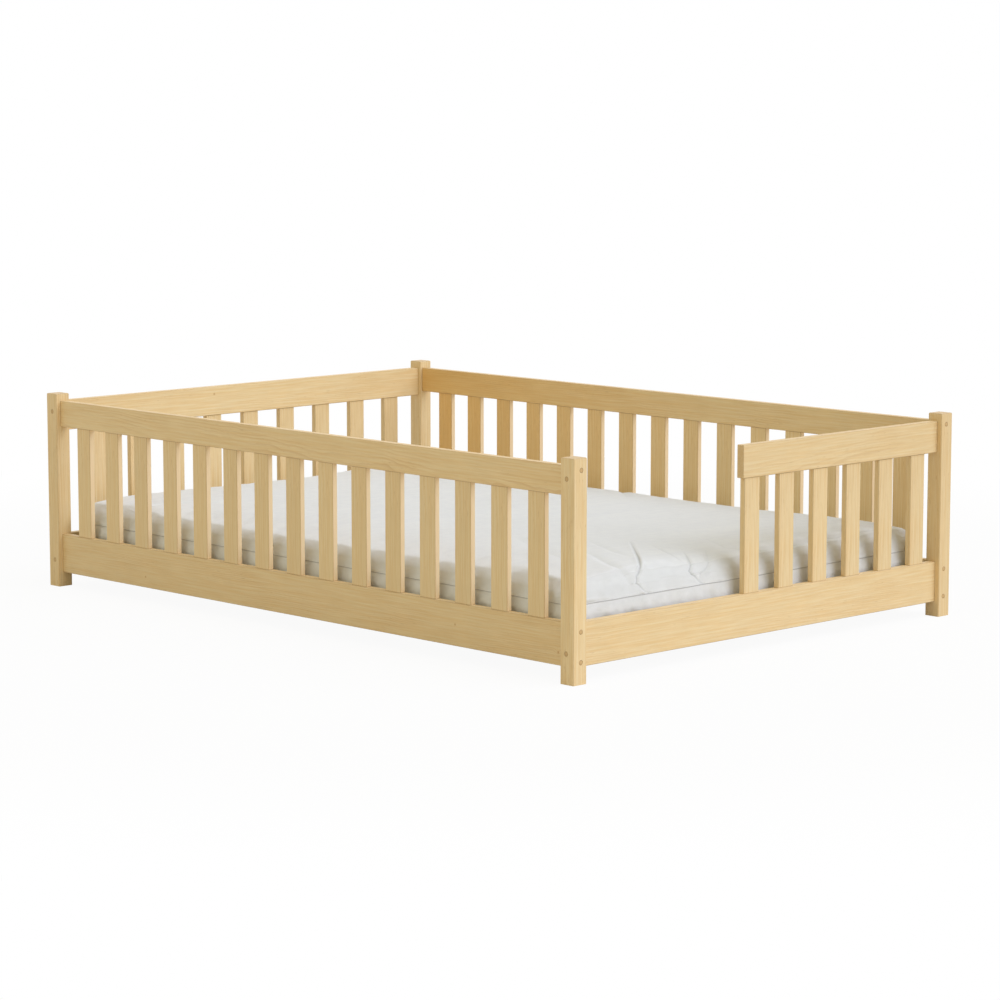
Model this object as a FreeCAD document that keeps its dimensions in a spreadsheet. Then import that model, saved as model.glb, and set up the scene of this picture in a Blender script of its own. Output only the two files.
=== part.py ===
import FreeCAD, Part
import math
import os

import Sketcher
from FreeCAD import Placement, Rotation, Vector

# A toddler floor bed in solid wood: four square posts, two long slatted guards, a slatted
# head end, and a foot end whose upper guard stops half way to leave an open entrance.
# A slatted base on ledgers and a centre beam carries a quilted mattress.
#
# Millimetres. X runs from the head end to the foot end, Y from the right side to the left
# side, Z is up, and the origin lies on the floor under the middle of the bed.

SIZES = [
    ("bed_length", 2080, "over the posts"),
    ("bed_width", 1430, "over the posts"),
    ("post_side", 45, "square section of a post"),
    ("post_height", 545, "floor to post top"),
    ("post_round", 3, "radius on a post's upright edges"),
    ("post_top_ease", 2, "chamfer round a post's top"),
    ("rail_inset", 14, "post's outer face to a rail's outer face"),
    ("rail_thick", 22, "thickness of every rail"),
    ("rail_ease", 1.5, "chamfer along a rail's long edges"),
    ("rail_tenon_length", 12, "stub tenon on a rail's end"),
    ("rail_tenon_thick", 12, "thickness of that tenon"),
    ("rail_tenon_shoulder", 4, "rail's edge to the tenon's edge"),
    ("foot_clear", 40, "floor to the low rails"),
    ("low_rail_height", 108, "height of the four low rails"),
    ("post_above_rail", 20, "post top above the top rails"),
    ("side_rail_height", 72, "height of the long top rails"),
    ("end_rail_height", 84, "height of the head's and the gate's top rail"),
    ("gate_length", 770, "length of the gate's top rail"),
    ("gate_overhang", 9, "gate rail's free end past its last slat"),
    ("gate_post_gap", 48, "gate's first slat to its post"),
    ("slat_width", 57, "width of a guard slat"),
    ("slat_thick", 16, "thickness of a guard slat"),
    ("slat_ease", 1.5, "chamfer on a slat's upright edges"),
    ("side_slat_count", 15, "guard slats on each long side"),
    ("head_slat_count", 9, "guard slats at the head"),
    ("gate_slat_count", 6, "guard slats in the gate"),
    ("tenon_width", 45, "width of a slat's tenon"),
    ("tenon_thick", 10, "thickness of a slat's tenon"),
    ("tenon_length", 12, "length of a slat's tenon"),
    ("mortise_slack", 0.2, "gap on each side of a tenon"),
    ("glue_space", 1, "gap past the end of a tenon or screw"),
    ("plug_diameter", 12, "wood plug over a screw"),
    ("plug_length", 7, "length of a wood plug"),
    ("plug_slack", 0.2, "counterbore wider than its plug"),
    ("screw_head_diameter", 11, "post screw's head"),
    ("screw_head_height", 4, "post screw's head"),
    ("screw_shank_diameter", 7, "post screw within the post"),
    ("screw_core_diameter", 5, "post screw within the rail"),
    ("screw_grip", 45, "post screw's length within the rail"),
    ("screw_slack", 0.4, "bore wider than its screw"),
    ("side_top_screw_drop", 9, "top edge of a long top rail to its screw"),
    ("side_low_screw_drop", 20, "top edge of a long low rail to its upper screw"),
    ("side_low_screw_rise", 14, "lower edge of a long low rail to its lower screw"),
    ("end_top_screw_drop", 30, "top edge of an end's top rail to its screw"),
    ("end_low_screw_rise", 35, "lower edge of an end's low rail to its screw"),
    ("plug_sides", 24, "sides that stand for a plug's round"),
    ("screw_sides", 8, "sides that stand for a screw's round"),
    ("ledger_top", 87, "floor to the ledgers' and the beam's top"),
    ("ledger_height", 30, "height of a ledger"),
    ("ledger_width", 25, "width of a ledger"),
    ("ledger_end_gap", 20, "ledger's end to the post"),
    ("beam_width", 45, "width of the centre beam"),
    ("beam_height", 32, "height of the centre beam"),
    ("beam_end_gap", 1, "beam's end to the end rail"),
    ("beam_rest_width", 95, "width of the notched block under a beam's end"),
    ("beam_rest_thick", 22, "thickness of that block"),
    ("beam_rest_sole", 13, "wood left below the block's notch"),
    ("beam_rest_slack", 0.3, "notch wider than the beam on each side"),
    ("leg_side", 45, "square section of a centre leg"),
    ("leg_spacing", 660, "between the two centre legs"),
    ("leg_chamfer", 3, "chamfer round a centre leg's foot"),
    ("leg_tenon_side", 22, "square stub tenon on a centre leg"),
    ("support_screw_count", 5, "screws in each ledger"),
    ("support_screw_margin", 60, "ledger's end to its first screw"),
    ("support_screw_diameter", 4, "support screw"),
    ("support_screw_length", 37, "support screw below its head"),
    ("support_head_diameter", 8, "support screw's head"),
    ("support_head_height", 2.5, "support screw's head"),
    ("base_slat_count", 14, "slats under the mattress"),
    ("base_slat_width", 70, "width of a base slat"),
    ("base_slat_thick", 18, "thickness of a base slat"),
    ("base_slat_gap", 3, "base slat's end to the side rail"),
    ("base_slat_margin", 60, "post to the first base slat"),
    ("strap_width", 25, "webbing strap that spaces the base slats"),
    ("strap_thick", 1.2, "webbing strap"),
    ("strap_spacing", 760, "between the two webbing straps"),
    ("mattress_gap", 4, "mattress to each rail"),
    ("mattress_lift", 0.3, "mattress above the webbing"),
    ("mattress_corner", 65, "corner radius of the mattress in plan"),
    ("mattress_under_round", 20, "radius round the mattress's lower edge"),
    ("mattress_seam_height", 76, "mattress's underside to its border seam"),
    ("mattress_seam_depth", 5, "how far the border seam is drawn in"),
    ("mattress_seam_reach", 10, "height drawn in above and below the seam"),
    ("mattress_edge_height", 132, "mattress's underside to its top edge"),
    ("mattress_top_round", 45, "radius round the mattress's top edge"),
    ("mattress_crown", 10, "how far the middle stands above the top edge"),
    ("mattress_crown_reach", 420, "from the side to the crown's full height"),
]

doc = FreeCAD.newDocument("ToddlerFloorBed")
sizes = doc.addObject("Spreadsheet::Sheet", "Sizes")
for row, (alias, amount, note) in enumerate(SIZES, start=1):
    sizes.set(f"A{row}", alias)
    sizes.set(f"B{row}", str(amount))
    sizes.set(f"C{row}", note)
    sizes.setAlias(f"B{row}", alias)
doc.recompute()

# Places that several pieces share, written as expressions on the sheet.
RAIL_CENTRE = "(Sizes.rail_inset + Sizes.rail_thick / 2)"
RAIL_INNER = "(Sizes.rail_inset + Sizes.rail_thick)"
SIDE_RAIL_LENGTH = "(Sizes.bed_length - 2 * Sizes.post_side)"
END_RAIL_LENGTH = "(Sizes.bed_width - 2 * Sizes.post_side)"
TOP_EDGE = "(Sizes.post_height - Sizes.post_above_rail)"
LOW_EDGE = "(Sizes.foot_clear + Sizes.low_rail_height)"
SIDE_TOP_BOTTOM = f"({TOP_EDGE} - Sizes.side_rail_height)"
END_TOP_BOTTOM = f"({TOP_EDGE} - Sizes.end_rail_height)"
LOW_RAIL = ("Sizes.foot_clear", "Sizes.low_rail_height")
SIDE_Y = f"(Sizes.bed_width / 2 - {RAIL_CENTRE})"
END_X = f"(Sizes.bed_length / 2 - {RAIL_CENTRE})"


def centred_first(pitch, count):
    """Where the first of a centred row stands, as an expression."""
    return f"(-{pitch} * ({count} - 1) / 2)"


# Each row of slats or screws has a pitch and a place for its first.
SIDE_SLAT_PITCH = (
    f"(({SIDE_RAIL_LENGTH} + Sizes.slat_width) / (Sizes.side_slat_count + 1))"
)
SIDE_FIRST = centred_first(SIDE_SLAT_PITCH, "Sizes.side_slat_count")
HEAD_SLAT_PITCH = f"(({END_RAIL_LENGTH} + Sizes.slat_width) / (Sizes.head_slat_count + 1))"
HEAD_FIRST = centred_first(HEAD_SLAT_PITCH, "Sizes.head_slat_count")
GATE_SLAT_PITCH = (
    "((Sizes.gate_length - Sizes.gate_overhang - Sizes.gate_post_gap - Sizes.slat_width)"
    " / (Sizes.gate_slat_count - 1))"
)
GATE_FIRST = "(-Sizes.gate_length / 2 + Sizes.gate_overhang + Sizes.slat_width / 2)"
GATE_CENTRE_Y = f"(({END_RAIL_LENGTH} - Sizes.gate_length) / 2)"
BASE_SLAT_TOP = "(Sizes.ledger_top + Sizes.base_slat_thick)"
BASE_SLAT_PITCH = (
    f"(({SIDE_RAIL_LENGTH} - 2 * Sizes.base_slat_margin - Sizes.base_slat_width)"
    " / (Sizes.base_slat_count - 1))"
)
BASE_FIRST = centred_first(BASE_SLAT_PITCH, "Sizes.base_slat_count")
BEAM_BOTTOM = "(Sizes.ledger_top - Sizes.beam_height)"
BEAM_REST_HEIGHT = "(Sizes.beam_height + Sizes.beam_rest_sole)"
REST_SCREW_X = "((Sizes.beam_rest_width + Sizes.beam_width) / 4)"
LEDGER_LENGTH = f"({SIDE_RAIL_LENGTH} - 2 * Sizes.ledger_end_gap)"
SUPPORT_PITCH = (
    f"(({LEDGER_LENGTH} - 2 * Sizes.support_screw_margin) / (Sizes.support_screw_count - 1))"
)
SUPPORT_FIRST = centred_first(SUPPORT_PITCH, "Sizes.support_screw_count")
LEDGER_SCREW_Z = "(Sizes.ledger_top - Sizes.ledger_height / 2)"
MATTRESS_BOTTOM = f"({BASE_SLAT_TOP} + Sizes.strap_thick + Sizes.mattress_lift)"

SIDE_TOP_SCREW = f"({TOP_EDGE} - Sizes.side_top_screw_drop)"
SIDE_LOW_SCREWS = [
    f"({LOW_EDGE} - Sizes.side_low_screw_drop)",
    "(Sizes.foot_clear + Sizes.side_low_screw_rise)",
]
END_TOP_SCREW = f"({TOP_EDGE} - Sizes.end_top_screw_drop)"
END_LOW_SCREW = "(Sizes.foot_clear + Sizes.end_low_screw_rise)"

SHANK_BORE = "(Sizes.screw_shank_diameter + Sizes.screw_slack)"
CORE_BORE = "(Sizes.screw_core_diameter + Sizes.screw_slack)"
PLUG_BORE = "(Sizes.plug_diameter + Sizes.plug_slack)"
SUPPORT_BORE = "(Sizes.support_screw_diameter + Sizes.screw_slack)"
TENON_HOLE_DEPTH = "(Sizes.rail_tenon_length + Sizes.glue_space)"

pieces = []


def number(expression):
    """The expression's value with the sheet as it stands."""
    return float(sizes.evalExpression(expression))


def whole(expression):
    """The same as a whole number, for counts."""
    return round(number(expression))


# ---------------------------------------------------------------- sketches and features


def new_body(label):
    """A body that is exported under its label."""
    body = doc.addObject("PartDesign::Body", label)
    body.Label = label
    pieces.append(body)
    return body


def new_sketch(body, role, offset="0"):
    """A sketch on one of the body's origin planes, moved along the plane's normal."""
    sketch = body.newObject("Sketcher::SketchObject", f"{body.Name}_sketch")
    plane = next(item for item in body.Origin.OriginFeatures if item.Role == role)
    sketch.AttachmentSupport = [(plane, "")]
    sketch.MapMode = "FlatFace"
    sketch.setExpression("AttachmentOffset.Base.z", offset)
    return sketch


def drive(sketch, kind, references, expression):
    """Adds a constraint whose size follows the expression."""
    index = sketch.addConstraint(Sketcher.Constraint(kind, *references, number(expression)))
    sketch.setExpression(f"Constraints[{index}]", expression)


def draw_outline(sketch, corners):
    """Closed straight outline with corners at pairs of expressions."""
    points = [Vector(number(across), number(up), 0) for across, up in corners]
    lines = []
    for start, end in zip(points, points[1:] + points[:1]):
        lines.append(sketch.addGeometry(Part.LineSegment(start, end)))
    for line, following in zip(lines, lines[1:] + lines[:1]):
        sketch.addConstraint(Sketcher.Constraint("Coincident", line, 2, following, 1))
    for line, (across, up) in zip(lines, corners):
        drive(sketch, "DistanceX", (-1, 1, line, 1), across)
        drive(sketch, "DistanceY", (-1, 1, line, 1), up)


def draw_rectangle(sketch, width, height, across="0", up="0"):
    """Rectangle centred on (across, up)."""
    left, right = f"{across} - {width} / 2", f"{across} + {width} / 2"
    low, high = f"{up} - {height} / 2", f"{up} + {height} / 2"
    draw_outline(sketch, [(left, low), (right, low), (right, high), (left, high)])


def draw_screw_bore(sketch, diameter, across, up):
    """A screw's bore as a regular polygon, so that the many bores stay light."""
    sides = whole("Sizes.screw_sides")
    corners = []
    for corner in range(sides):
        angle = 360 * corner / sides
        corners.append((f"{across} + {diameter} / 2 * cos({angle}deg)",
                        f"{up} + {diameter} / 2 * sin({angle}deg)"))
    draw_outline(sketch, corners)


def draw_circle(sketch, diameter, across, up):
    """Circle centred on (across, up)."""
    centre = Vector(number(across), number(up), 0)
    circle = sketch.addGeometry(Part.Circle(centre, Vector(0, 0, 1), number(diameter) / 2))
    drive(sketch, "DistanceX", (-1, 1, circle, 3), across)
    drive(sketch, "DistanceY", (-1, 1, circle, 3), up)
    drive(sketch, "Diameter", (circle,), diameter)


def add_pad(body, sketch, length, centred=False):
    """Pads the sketch along its normal, or to both sides of it."""
    pad = body.newObject("PartDesign::Pad", f"{body.Name}_pad")
    pad.Profile = sketch
    pad.SideType = "Symmetric" if centred else "One side"
    pad.setExpression("Length", length)
    doc.recompute()
    return pad


def add_cut(body, sketch, depth, along_normal=False):
    """Pockets the sketch against its normal, or along it, and makes sure that it cuts."""
    before = body.Shape.Volume
    pocket = body.newObject("PartDesign::Pocket", f"{body.Name}_pocket")
    pocket.Profile = sketch
    pocket.Reversed = along_normal
    pocket.setExpression("Length", depth)
    doc.recompute()
    if body.Shape.Volume >= before:
        raise ValueError(f"{body.Label}: a pocket misses the wood")
    return pocket


def repeat(body, feature, sketch, pitch, count):
    """Repeats a feature along the sketch's horizontal axis."""
    pattern = body.newObject("PartDesign::LinearPattern", f"{body.Name}_row")
    pattern.Originals = [feature]
    pattern.Direction = (sketch, ["H_Axis"])
    pattern.Mode = "Spacing"
    pattern.setExpression("Offset", pitch)
    pattern.setExpression("Occurrences", count)
    body.Tip = pattern
    doc.recompute()
    return pattern


def mirror_ends(body, features):
    """Copies features to the other end of a piece that lies along X."""
    mirrored = body.newObject("PartDesign::Mirrored", f"{body.Name}_mirrored")
    mirrored.Originals = features
    plane = next(item for item in body.Origin.OriginFeatures if item.Role == "YZ_Plane")
    mirrored.MirrorPlane = (plane, [""])
    body.Tip = mirrored
    doc.recompute()


def is_along(edge, axis):
    """True for a straight edge that runs along the axis."""
    start, end = edge.firstVertex().Point, edge.lastVertex().Point
    span = end - start
    return edge.Curve.TypeId == "Part::GeomLine" and span.cross(axis).Length < 1e-6


def dress_edges(body, kind, size, wanted):
    """Fillets or chamfers every edge of the body so far that `wanted` picks."""
    tip = body.Tip
    names = [f"Edge{place}" for place, edge in enumerate(tip.Shape.Edges, 1) if wanted(edge)]
    dressing = body.newObject(f"PartDesign::{kind}", f"{body.Name}_{kind.lower()}")
    dressing.Base = (tip, names)
    dressing.setExpression("Radius" if kind == "Fillet" else "Size", size)
    doc.recompute()


def place(item, across="0", along="0", up="0", turn=0):
    """Puts a piece at three expressions, turned about Z by whole degrees."""
    item.Placement = Placement(Vector(), Rotation(Vector(0, 0, 1), turn))
    item.setExpression("Placement.Base.x", across)
    item.setExpression("Placement.Base.y", along)
    item.setExpression("Placement.Base.z", up)


def add_group(label, shape, places):
    """Identical pieces under one label: copies of a shape at each placement."""
    copies = []
    for spot in places:
        copy = shape.copy()
        copy.Placement = spot.multiply(shape.Placement)
        copies.append(copy)
    group = doc.addObject("Part::Feature", label)
    group.Label = label
    group.Shape = Part.Compound(copies)
    pieces.append(group)


# ---------------------------------------------------------------------------- posts


def face_sketch(body, plane, side):
    """A sketch on the post's face on the given side (+1 or -1) of an origin plane."""
    return new_sketch(body, plane, f"{side} * Sizes.post_side / 2")


def bore_for_screws(body, plane, side, across, heights):
    """Counterbored screw holes from the post's outer face to its inner face."""
    seats = face_sketch(body, plane, side)
    bores = face_sketch(body, plane, side)
    for height in heights:
        draw_circle(seats, PLUG_BORE, across, height)
        draw_screw_bore(bores, SHANK_BORE, across, height)
    depth = "Sizes.plug_length + Sizes.screw_head_height"
    add_cut(body, seats, depth, along_normal=side < 0)
    add_cut(body, bores, "Sizes.post_side", along_normal=side < 0)


def cut_rail_mortises(body, plane, side, across, rails):
    """Mortises in the post's inner face for rails given as (lower edge, height)."""
    sketch = face_sketch(body, plane, -side)
    width = "(Sizes.rail_tenon_thick + 2 * Sizes.mortise_slack)"
    for bottom, height in rails:
        tall = f"({height} - 2 * Sizes.rail_tenon_shoulder + 2 * Sizes.mortise_slack)"
        draw_rectangle(sketch, width, tall, across, f"({bottom} + {height} / 2)")
    add_cut(body, sketch, TENON_HOLE_DEPTH, along_normal=side > 0)


def has_end_top_rail(end, side):
    """Every corner but the foot's right one carries an end top rail."""
    return not (end > 0 and side < 0)


def make_post(label, end, side):
    """One post. end is +1 at the foot, side is +1 on the left.

    The post without an end top rail still has that screw's hole, blind and plugged.
    """
    body = new_body(label)
    sketch = new_sketch(body, "XY_Plane")
    draw_rectangle(sketch, "Sizes.post_side", "Sizes.post_side")
    add_pad(body, sketch, "Sizes.post_height")
    top = number("Sizes.post_height")
    upright = Vector(0, 0, 1)
    dress_edges(body, "Fillet", "Sizes.post_round", lambda edge: is_along(edge, upright))
    dress_edges(body, "Chamfer", "Sizes.post_top_ease", lambda edge: edge.CenterOfMass.z > top - 1e-6)
    inward = f"({RAIL_CENTRE} - Sizes.post_side / 2)"

    across = f"{-side} * {inward}"
    bore_for_screws(body, "YZ_Plane", end, across, [SIDE_TOP_SCREW] + SIDE_LOW_SCREWS)
    side_rails = [LOW_RAIL, (SIDE_TOP_BOTTOM, "Sizes.side_rail_height")]
    cut_rail_mortises(body, "YZ_Plane", end, across, side_rails)

    # The XZ plane's normal points to -Y, so the side changes its sign.
    across = f"{-end} * {inward}"
    end_screws = [END_LOW_SCREW]
    end_rails = [LOW_RAIL]
    if has_end_top_rail(end, side):
        end_screws.append(END_TOP_SCREW)
        end_rails.append((END_TOP_BOTTOM, "Sizes.end_rail_height"))
    else:
        blind = face_sketch(body, "XZ_Plane", -side)
        draw_circle(blind, PLUG_BORE, across, END_TOP_SCREW)
        add_cut(body, blind, "Sizes.plug_length", along_normal=side > 0)
    bore_for_screws(body, "XZ_Plane", -side, across, end_screws)
    cut_rail_mortises(body, "XZ_Plane", -side, across, end_rails)
    place(
        body,
        f"{end} * (Sizes.bed_length - Sizes.post_side) / 2",
        f"{side} * (Sizes.bed_width - Sizes.post_side) / 2",
    )


# ---------------------------------------------------------------------------- rails


def make_rail(label, length, height, screws, both_ends=True):
    """A rail along its own X with its inner face towards +Y and its lower edge at Z 0.

    It has a stub tenon and pilot bores, at heights above its lower edge, in its +X end
    and, unless it stops short of a post, in its other end too.
    """
    body = new_body(label)
    sketch = new_sketch(body, "YZ_Plane")
    draw_rectangle(sketch, "Sizes.rail_thick", height, up=f"{height} / 2")
    add_pad(body, sketch, length, centred=True)
    free_end = -number(length) / 2
    lengthwise = Vector(1, 0, 0)
    dress_edges(
        body,
        "Chamfer",
        "Sizes.rail_ease",
        lambda edge: is_along(edge, lengthwise)
        or (not both_ends and edge.CenterOfMass.x < free_end + 1e-6),
    )
    tenon_sketch = new_sketch(body, "YZ_Plane", f"{length} / 2")
    tall = f"({height} - 2 * Sizes.rail_tenon_shoulder)"
    draw_rectangle(tenon_sketch, "Sizes.rail_tenon_thick", tall, up=f"{height} / 2")
    tenon = add_pad(body, tenon_sketch, "Sizes.rail_tenon_length")
    bore_sketch = new_sketch(body, "YZ_Plane", f"{length} / 2 + Sizes.rail_tenon_length")
    for level in screws:
        draw_screw_bore(bore_sketch, CORE_BORE, "0", level)
    depth = "Sizes.rail_tenon_length + Sizes.screw_grip + Sizes.glue_space"
    bore = add_cut(body, bore_sketch, depth)
    if both_ends:
        mirror_ends(body, [tenon, bore])
    return body


def cut_mortises(body, face_height, first, pitch, count, upward=False):
    """A row of mortises in the rail's top edge, or upward into its lower edge."""
    sketch = new_sketch(body, "XY_Plane", face_height)
    width = "(Sizes.tenon_width + 2 * Sizes.mortise_slack)"
    thick = "(Sizes.tenon_thick + 2 * Sizes.mortise_slack)"
    draw_rectangle(sketch, width, thick, across=first)
    depth = "Sizes.tenon_length + Sizes.glue_space"
    mortise = add_cut(body, sketch, depth, along_normal=upward)
    repeat(body, mortise, sketch, pitch, count)


def bore_inner_face(body, height, first, pitch, count):
    """A row of pilot holes in the rail's inner face for the support screws."""
    sketch = new_sketch(body, "XZ_Plane", "-Sizes.rail_thick / 2")
    draw_screw_bore(sketch, SUPPORT_BORE, first, height)
    reach = "Sizes.support_screw_length - Sizes.beam_rest_thick + Sizes.glue_space"
    bore = add_cut(body, sketch, reach, along_normal=True)
    repeat(body, bore, sketch, pitch, count)


def local(height, bottom):
    """A height above the floor, as a height above a rail's lower edge."""
    return f"({height} - {bottom})"


def make_side_rails(name, side, turn):
    """The two rails of a long side, its inner faces towards the bed."""
    along = f"{side} * {SIDE_Y}"
    slats = (SIDE_FIRST, SIDE_SLAT_PITCH, "Sizes.side_slat_count")

    low_screws = [local(height, "Sizes.foot_clear") for height in SIDE_LOW_SCREWS]
    low = make_rail(f"{name}_low_rail", SIDE_RAIL_LENGTH, "Sizes.low_rail_height", low_screws)
    cut_mortises(low, "Sizes.low_rail_height", *slats)
    ledger_level = local(LEDGER_SCREW_Z, "Sizes.foot_clear")
    bore_inner_face(low, ledger_level, SUPPORT_FIRST, SUPPORT_PITCH, "Sizes.support_screw_count")
    place(low, along=along, up="Sizes.foot_clear", turn=turn)

    top = make_rail(
        f"{name}_top_rail",
        SIDE_RAIL_LENGTH,
        "Sizes.side_rail_height",
        [local(SIDE_TOP_SCREW, SIDE_TOP_BOTTOM)],
    )
    cut_mortises(top, "0", *slats, upward=True)
    place(top, along=along, up=SIDE_TOP_BOTTOM, turn=turn)


def make_end_low_rail(name, end, turn, first, pitch, count):
    """An end's low rail, with pilot holes for the beam's notched block."""
    rail = make_rail(
        f"{name}_low_rail",
        END_RAIL_LENGTH,
        "Sizes.low_rail_height",
        [local(END_LOW_SCREW, "Sizes.foot_clear")],
    )
    cut_mortises(rail, "Sizes.low_rail_height", first, pitch, count)
    level = local(f"({BEAM_BOTTOM} + Sizes.beam_height / 2)", "Sizes.foot_clear")
    bore_inner_face(rail, level, f"(-{REST_SCREW_X})", f"2 * {REST_SCREW_X}", "2")
    place(rail, f"{end} * {END_X}", up="Sizes.foot_clear", turn=turn)


def make_end_top_rail(label, end, turn, length, along, first, pitch, count, is_gate):
    """An end's top rail; the gate's is fixed at one end only."""
    rail = make_rail(
        label,
        length,
        "Sizes.end_rail_height",
        [local(END_TOP_SCREW, END_TOP_BOTTOM)],
        both_ends=not is_gate,
    )
    cut_mortises(rail, "0", first, pitch, count, upward=True)
    place(rail, f"{end} * {END_X}", along, END_TOP_BOTTOM, turn)


# ---------------------------------------------------------------------- guard slats


def make_slat(label, top_bottom):
    """A guard slat from the low rail up to a top rail, with a shouldered tenon each end."""
    body = new_body(label)
    height = f"({top_bottom} - {LOW_EDGE})"
    sketch = new_sketch(body, "XY_Plane")
    draw_rectangle(sketch, "Sizes.slat_width", "Sizes.slat_thick")
    add_pad(body, sketch, height)
    upright = Vector(0, 0, 1)
    dress_edges(body, "Chamfer", "Sizes.slat_ease", lambda edge: is_along(edge, upright))
    tenons = new_sketch(body, "XY_Plane", "-Sizes.tenon_length")
    draw_rectangle(tenons, "Sizes.tenon_width", "Sizes.tenon_thick")
    add_pad(body, tenons, f"{height} + 2 * Sizes.tenon_length")
    return body


def make_right_slats():
    """The right side's slats, each a piece of its own."""
    for spot in range(whole("Sizes.side_slat_count")):
        slat = make_slat(f"right_slat_{spot + 1:02d}", SIDE_TOP_BOTTOM)
        place(slat, f"{SIDE_FIRST} + {spot} * {SIDE_SLAT_PITCH}", f"-{SIDE_Y}", LOW_EDGE)


def make_left_slats():
    """The left side's slats as one group of separate slats."""
    pattern = make_slat("left_slat_pattern", SIDE_TOP_BOTTOM)
    pieces.remove(pattern)
    spots = []
    for spot in range(whole("Sizes.side_slat_count")):
        across = number(SIDE_FIRST) + spot * number(SIDE_SLAT_PITCH)
        where = Vector(across, number(SIDE_Y), number(LOW_EDGE))
        spots.append(Placement(where, Rotation()))
    add_group("left_slats", pattern.Shape, spots)


def make_head_slats():
    """The head end's slats, evenly spaced between the posts."""
    for spot in range(whole("Sizes.head_slat_count")):
        slat = make_slat(f"head_slat_{spot + 1}", END_TOP_BOTTOM)
        place(slat, f"-{END_X}", f"{HEAD_FIRST} + {spot} * {HEAD_SLAT_PITCH}", LOW_EDGE, 90)


def make_gate_slats():
    """The gate's slats, from its free end to its post."""
    for spot in range(whole("Sizes.gate_slat_count")):
        slat = make_slat(f"gate_slat_{spot + 1}", END_TOP_BOTTOM)
        along = f"{GATE_CENTRE_Y} + {GATE_FIRST} + {spot} * {GATE_SLAT_PITCH}"
        place(slat, END_X, along, LOW_EDGE, 90)


# --------------------------------------------------------------- base of the bed


def make_ledger(label, side, turn):
    """A ledger along a low side rail, bored for its screws."""
    body = new_body(label)
    sketch = new_sketch(body, "YZ_Plane")
    draw_rectangle(sketch, "Sizes.ledger_width", "Sizes.ledger_height")
    add_pad(body, sketch, LEDGER_LENGTH, centred=True)
    holes = new_sketch(body, "XZ_Plane", "-Sizes.ledger_width / 2")
    draw_screw_bore(holes, SUPPORT_BORE, SUPPORT_FIRST, "0")
    bore = add_cut(body, holes, "Sizes.ledger_width", along_normal=True)
    repeat(body, bore, holes, SUPPORT_PITCH, "Sizes.support_screw_count")
    along = f"{side} * (Sizes.bed_width / 2 - {RAIL_INNER} - Sizes.ledger_width / 2)"
    place(body, along=along, up=LEDGER_SCREW_Z, turn=turn)


def make_centre_beam():
    """The beam under the middle of the base slats, mortised for its legs."""
    body = new_body("centre_beam")
    sketch = new_sketch(body, "YZ_Plane")
    draw_rectangle(sketch, "Sizes.beam_width", "Sizes.beam_height", up="Sizes.beam_height / 2")
    length = f"Sizes.bed_length - 2 * {RAIL_INNER} - 2 * Sizes.beam_end_gap"
    add_pad(body, sketch, length, centred=True)
    mortises = new_sketch(body, "XY_Plane")
    side = "(Sizes.leg_tenon_side + 2 * Sizes.mortise_slack)"
    for way in (-1, 1):
        draw_rectangle(mortises, side, side, f"{way} * Sizes.leg_spacing / 2")
    add_cut(body, mortises, "Sizes.tenon_length + Sizes.glue_space", along_normal=True)
    place(body, up=BEAM_BOTTOM)


def make_beam_rest(label, end, turn):
    """A block screwed to an end rail, with an open notch that the beam drops into."""
    body = new_body(label)
    sketch = new_sketch(body, "XZ_Plane", "-Sizes.beam_rest_thick / 2")
    outer, cheek = "Sizes.beam_rest_width / 2", "(Sizes.beam_width / 2 + Sizes.beam_rest_slack)"
    draw_outline(
        sketch,
        [
            (f"-{outer}", "0"),
            (outer, "0"),
            (outer, BEAM_REST_HEIGHT),
            (cheek, BEAM_REST_HEIGHT),
            (cheek, "Sizes.beam_rest_sole"),
            (f"-{cheek}", "Sizes.beam_rest_sole"),
            (f"-{cheek}", BEAM_REST_HEIGHT),
            (f"-{outer}", BEAM_REST_HEIGHT),
        ],
    )
    add_pad(body, sketch, "Sizes.beam_rest_thick")
    holes = new_sketch(body, "XZ_Plane", "-Sizes.beam_rest_thick / 2")
    level = "(Sizes.beam_rest_sole + Sizes.beam_height / 2)"
    for way in (-1, 1):
        draw_screw_bore(holes, SUPPORT_BORE, f"{way} * {REST_SCREW_X}", level)
    add_cut(body, holes, "Sizes.beam_rest_thick", along_normal=True)
    across = f"{end} * (Sizes.bed_length / 2 - {RAIL_INNER} - Sizes.beam_rest_thick / 2)"
    place(body, across, up=f"{BEAM_BOTTOM} - Sizes.beam_rest_sole", turn=turn)


def make_centre_leg(label, end):
    """A short leg tenoned into the beam, chamfered round its foot."""
    body = new_body(label)
    sketch = new_sketch(body, "XY_Plane")
    draw_rectangle(sketch, "Sizes.leg_side", "Sizes.leg_side")
    add_pad(body, sketch, BEAM_BOTTOM)
    dress_edges(body, "Chamfer", "Sizes.leg_chamfer", lambda edge: edge.CenterOfMass.z < 1e-6)
    tenon = new_sketch(body, "XY_Plane", BEAM_BOTTOM)
    draw_rectangle(tenon, "Sizes.leg_tenon_side", "Sizes.leg_tenon_side")
    add_pad(body, tenon, "Sizes.tenon_length")
    place(body, f"{end} * Sizes.leg_spacing / 2")


def make_base_slats():
    """The slats that carry the mattress, across the bed on the ledgers and the beam."""
    thick = number("Sizes.base_slat_thick")
    width = number("Sizes.base_slat_width")
    length = number(f"Sizes.bed_width - 2 * {RAIL_INNER} - 2 * Sizes.base_slat_gap")
    slat = Part.makeBox(width, length, thick, Vector(-width / 2, -length / 2, 0))
    spots = []
    for spot in range(whole("Sizes.base_slat_count")):
        across = number(BASE_FIRST) + spot * number(BASE_SLAT_PITCH)
        spots.append(Placement(Vector(across, 0, number("Sizes.ledger_top")), Rotation()))
    add_group("base_slats", slat, spots)


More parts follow.
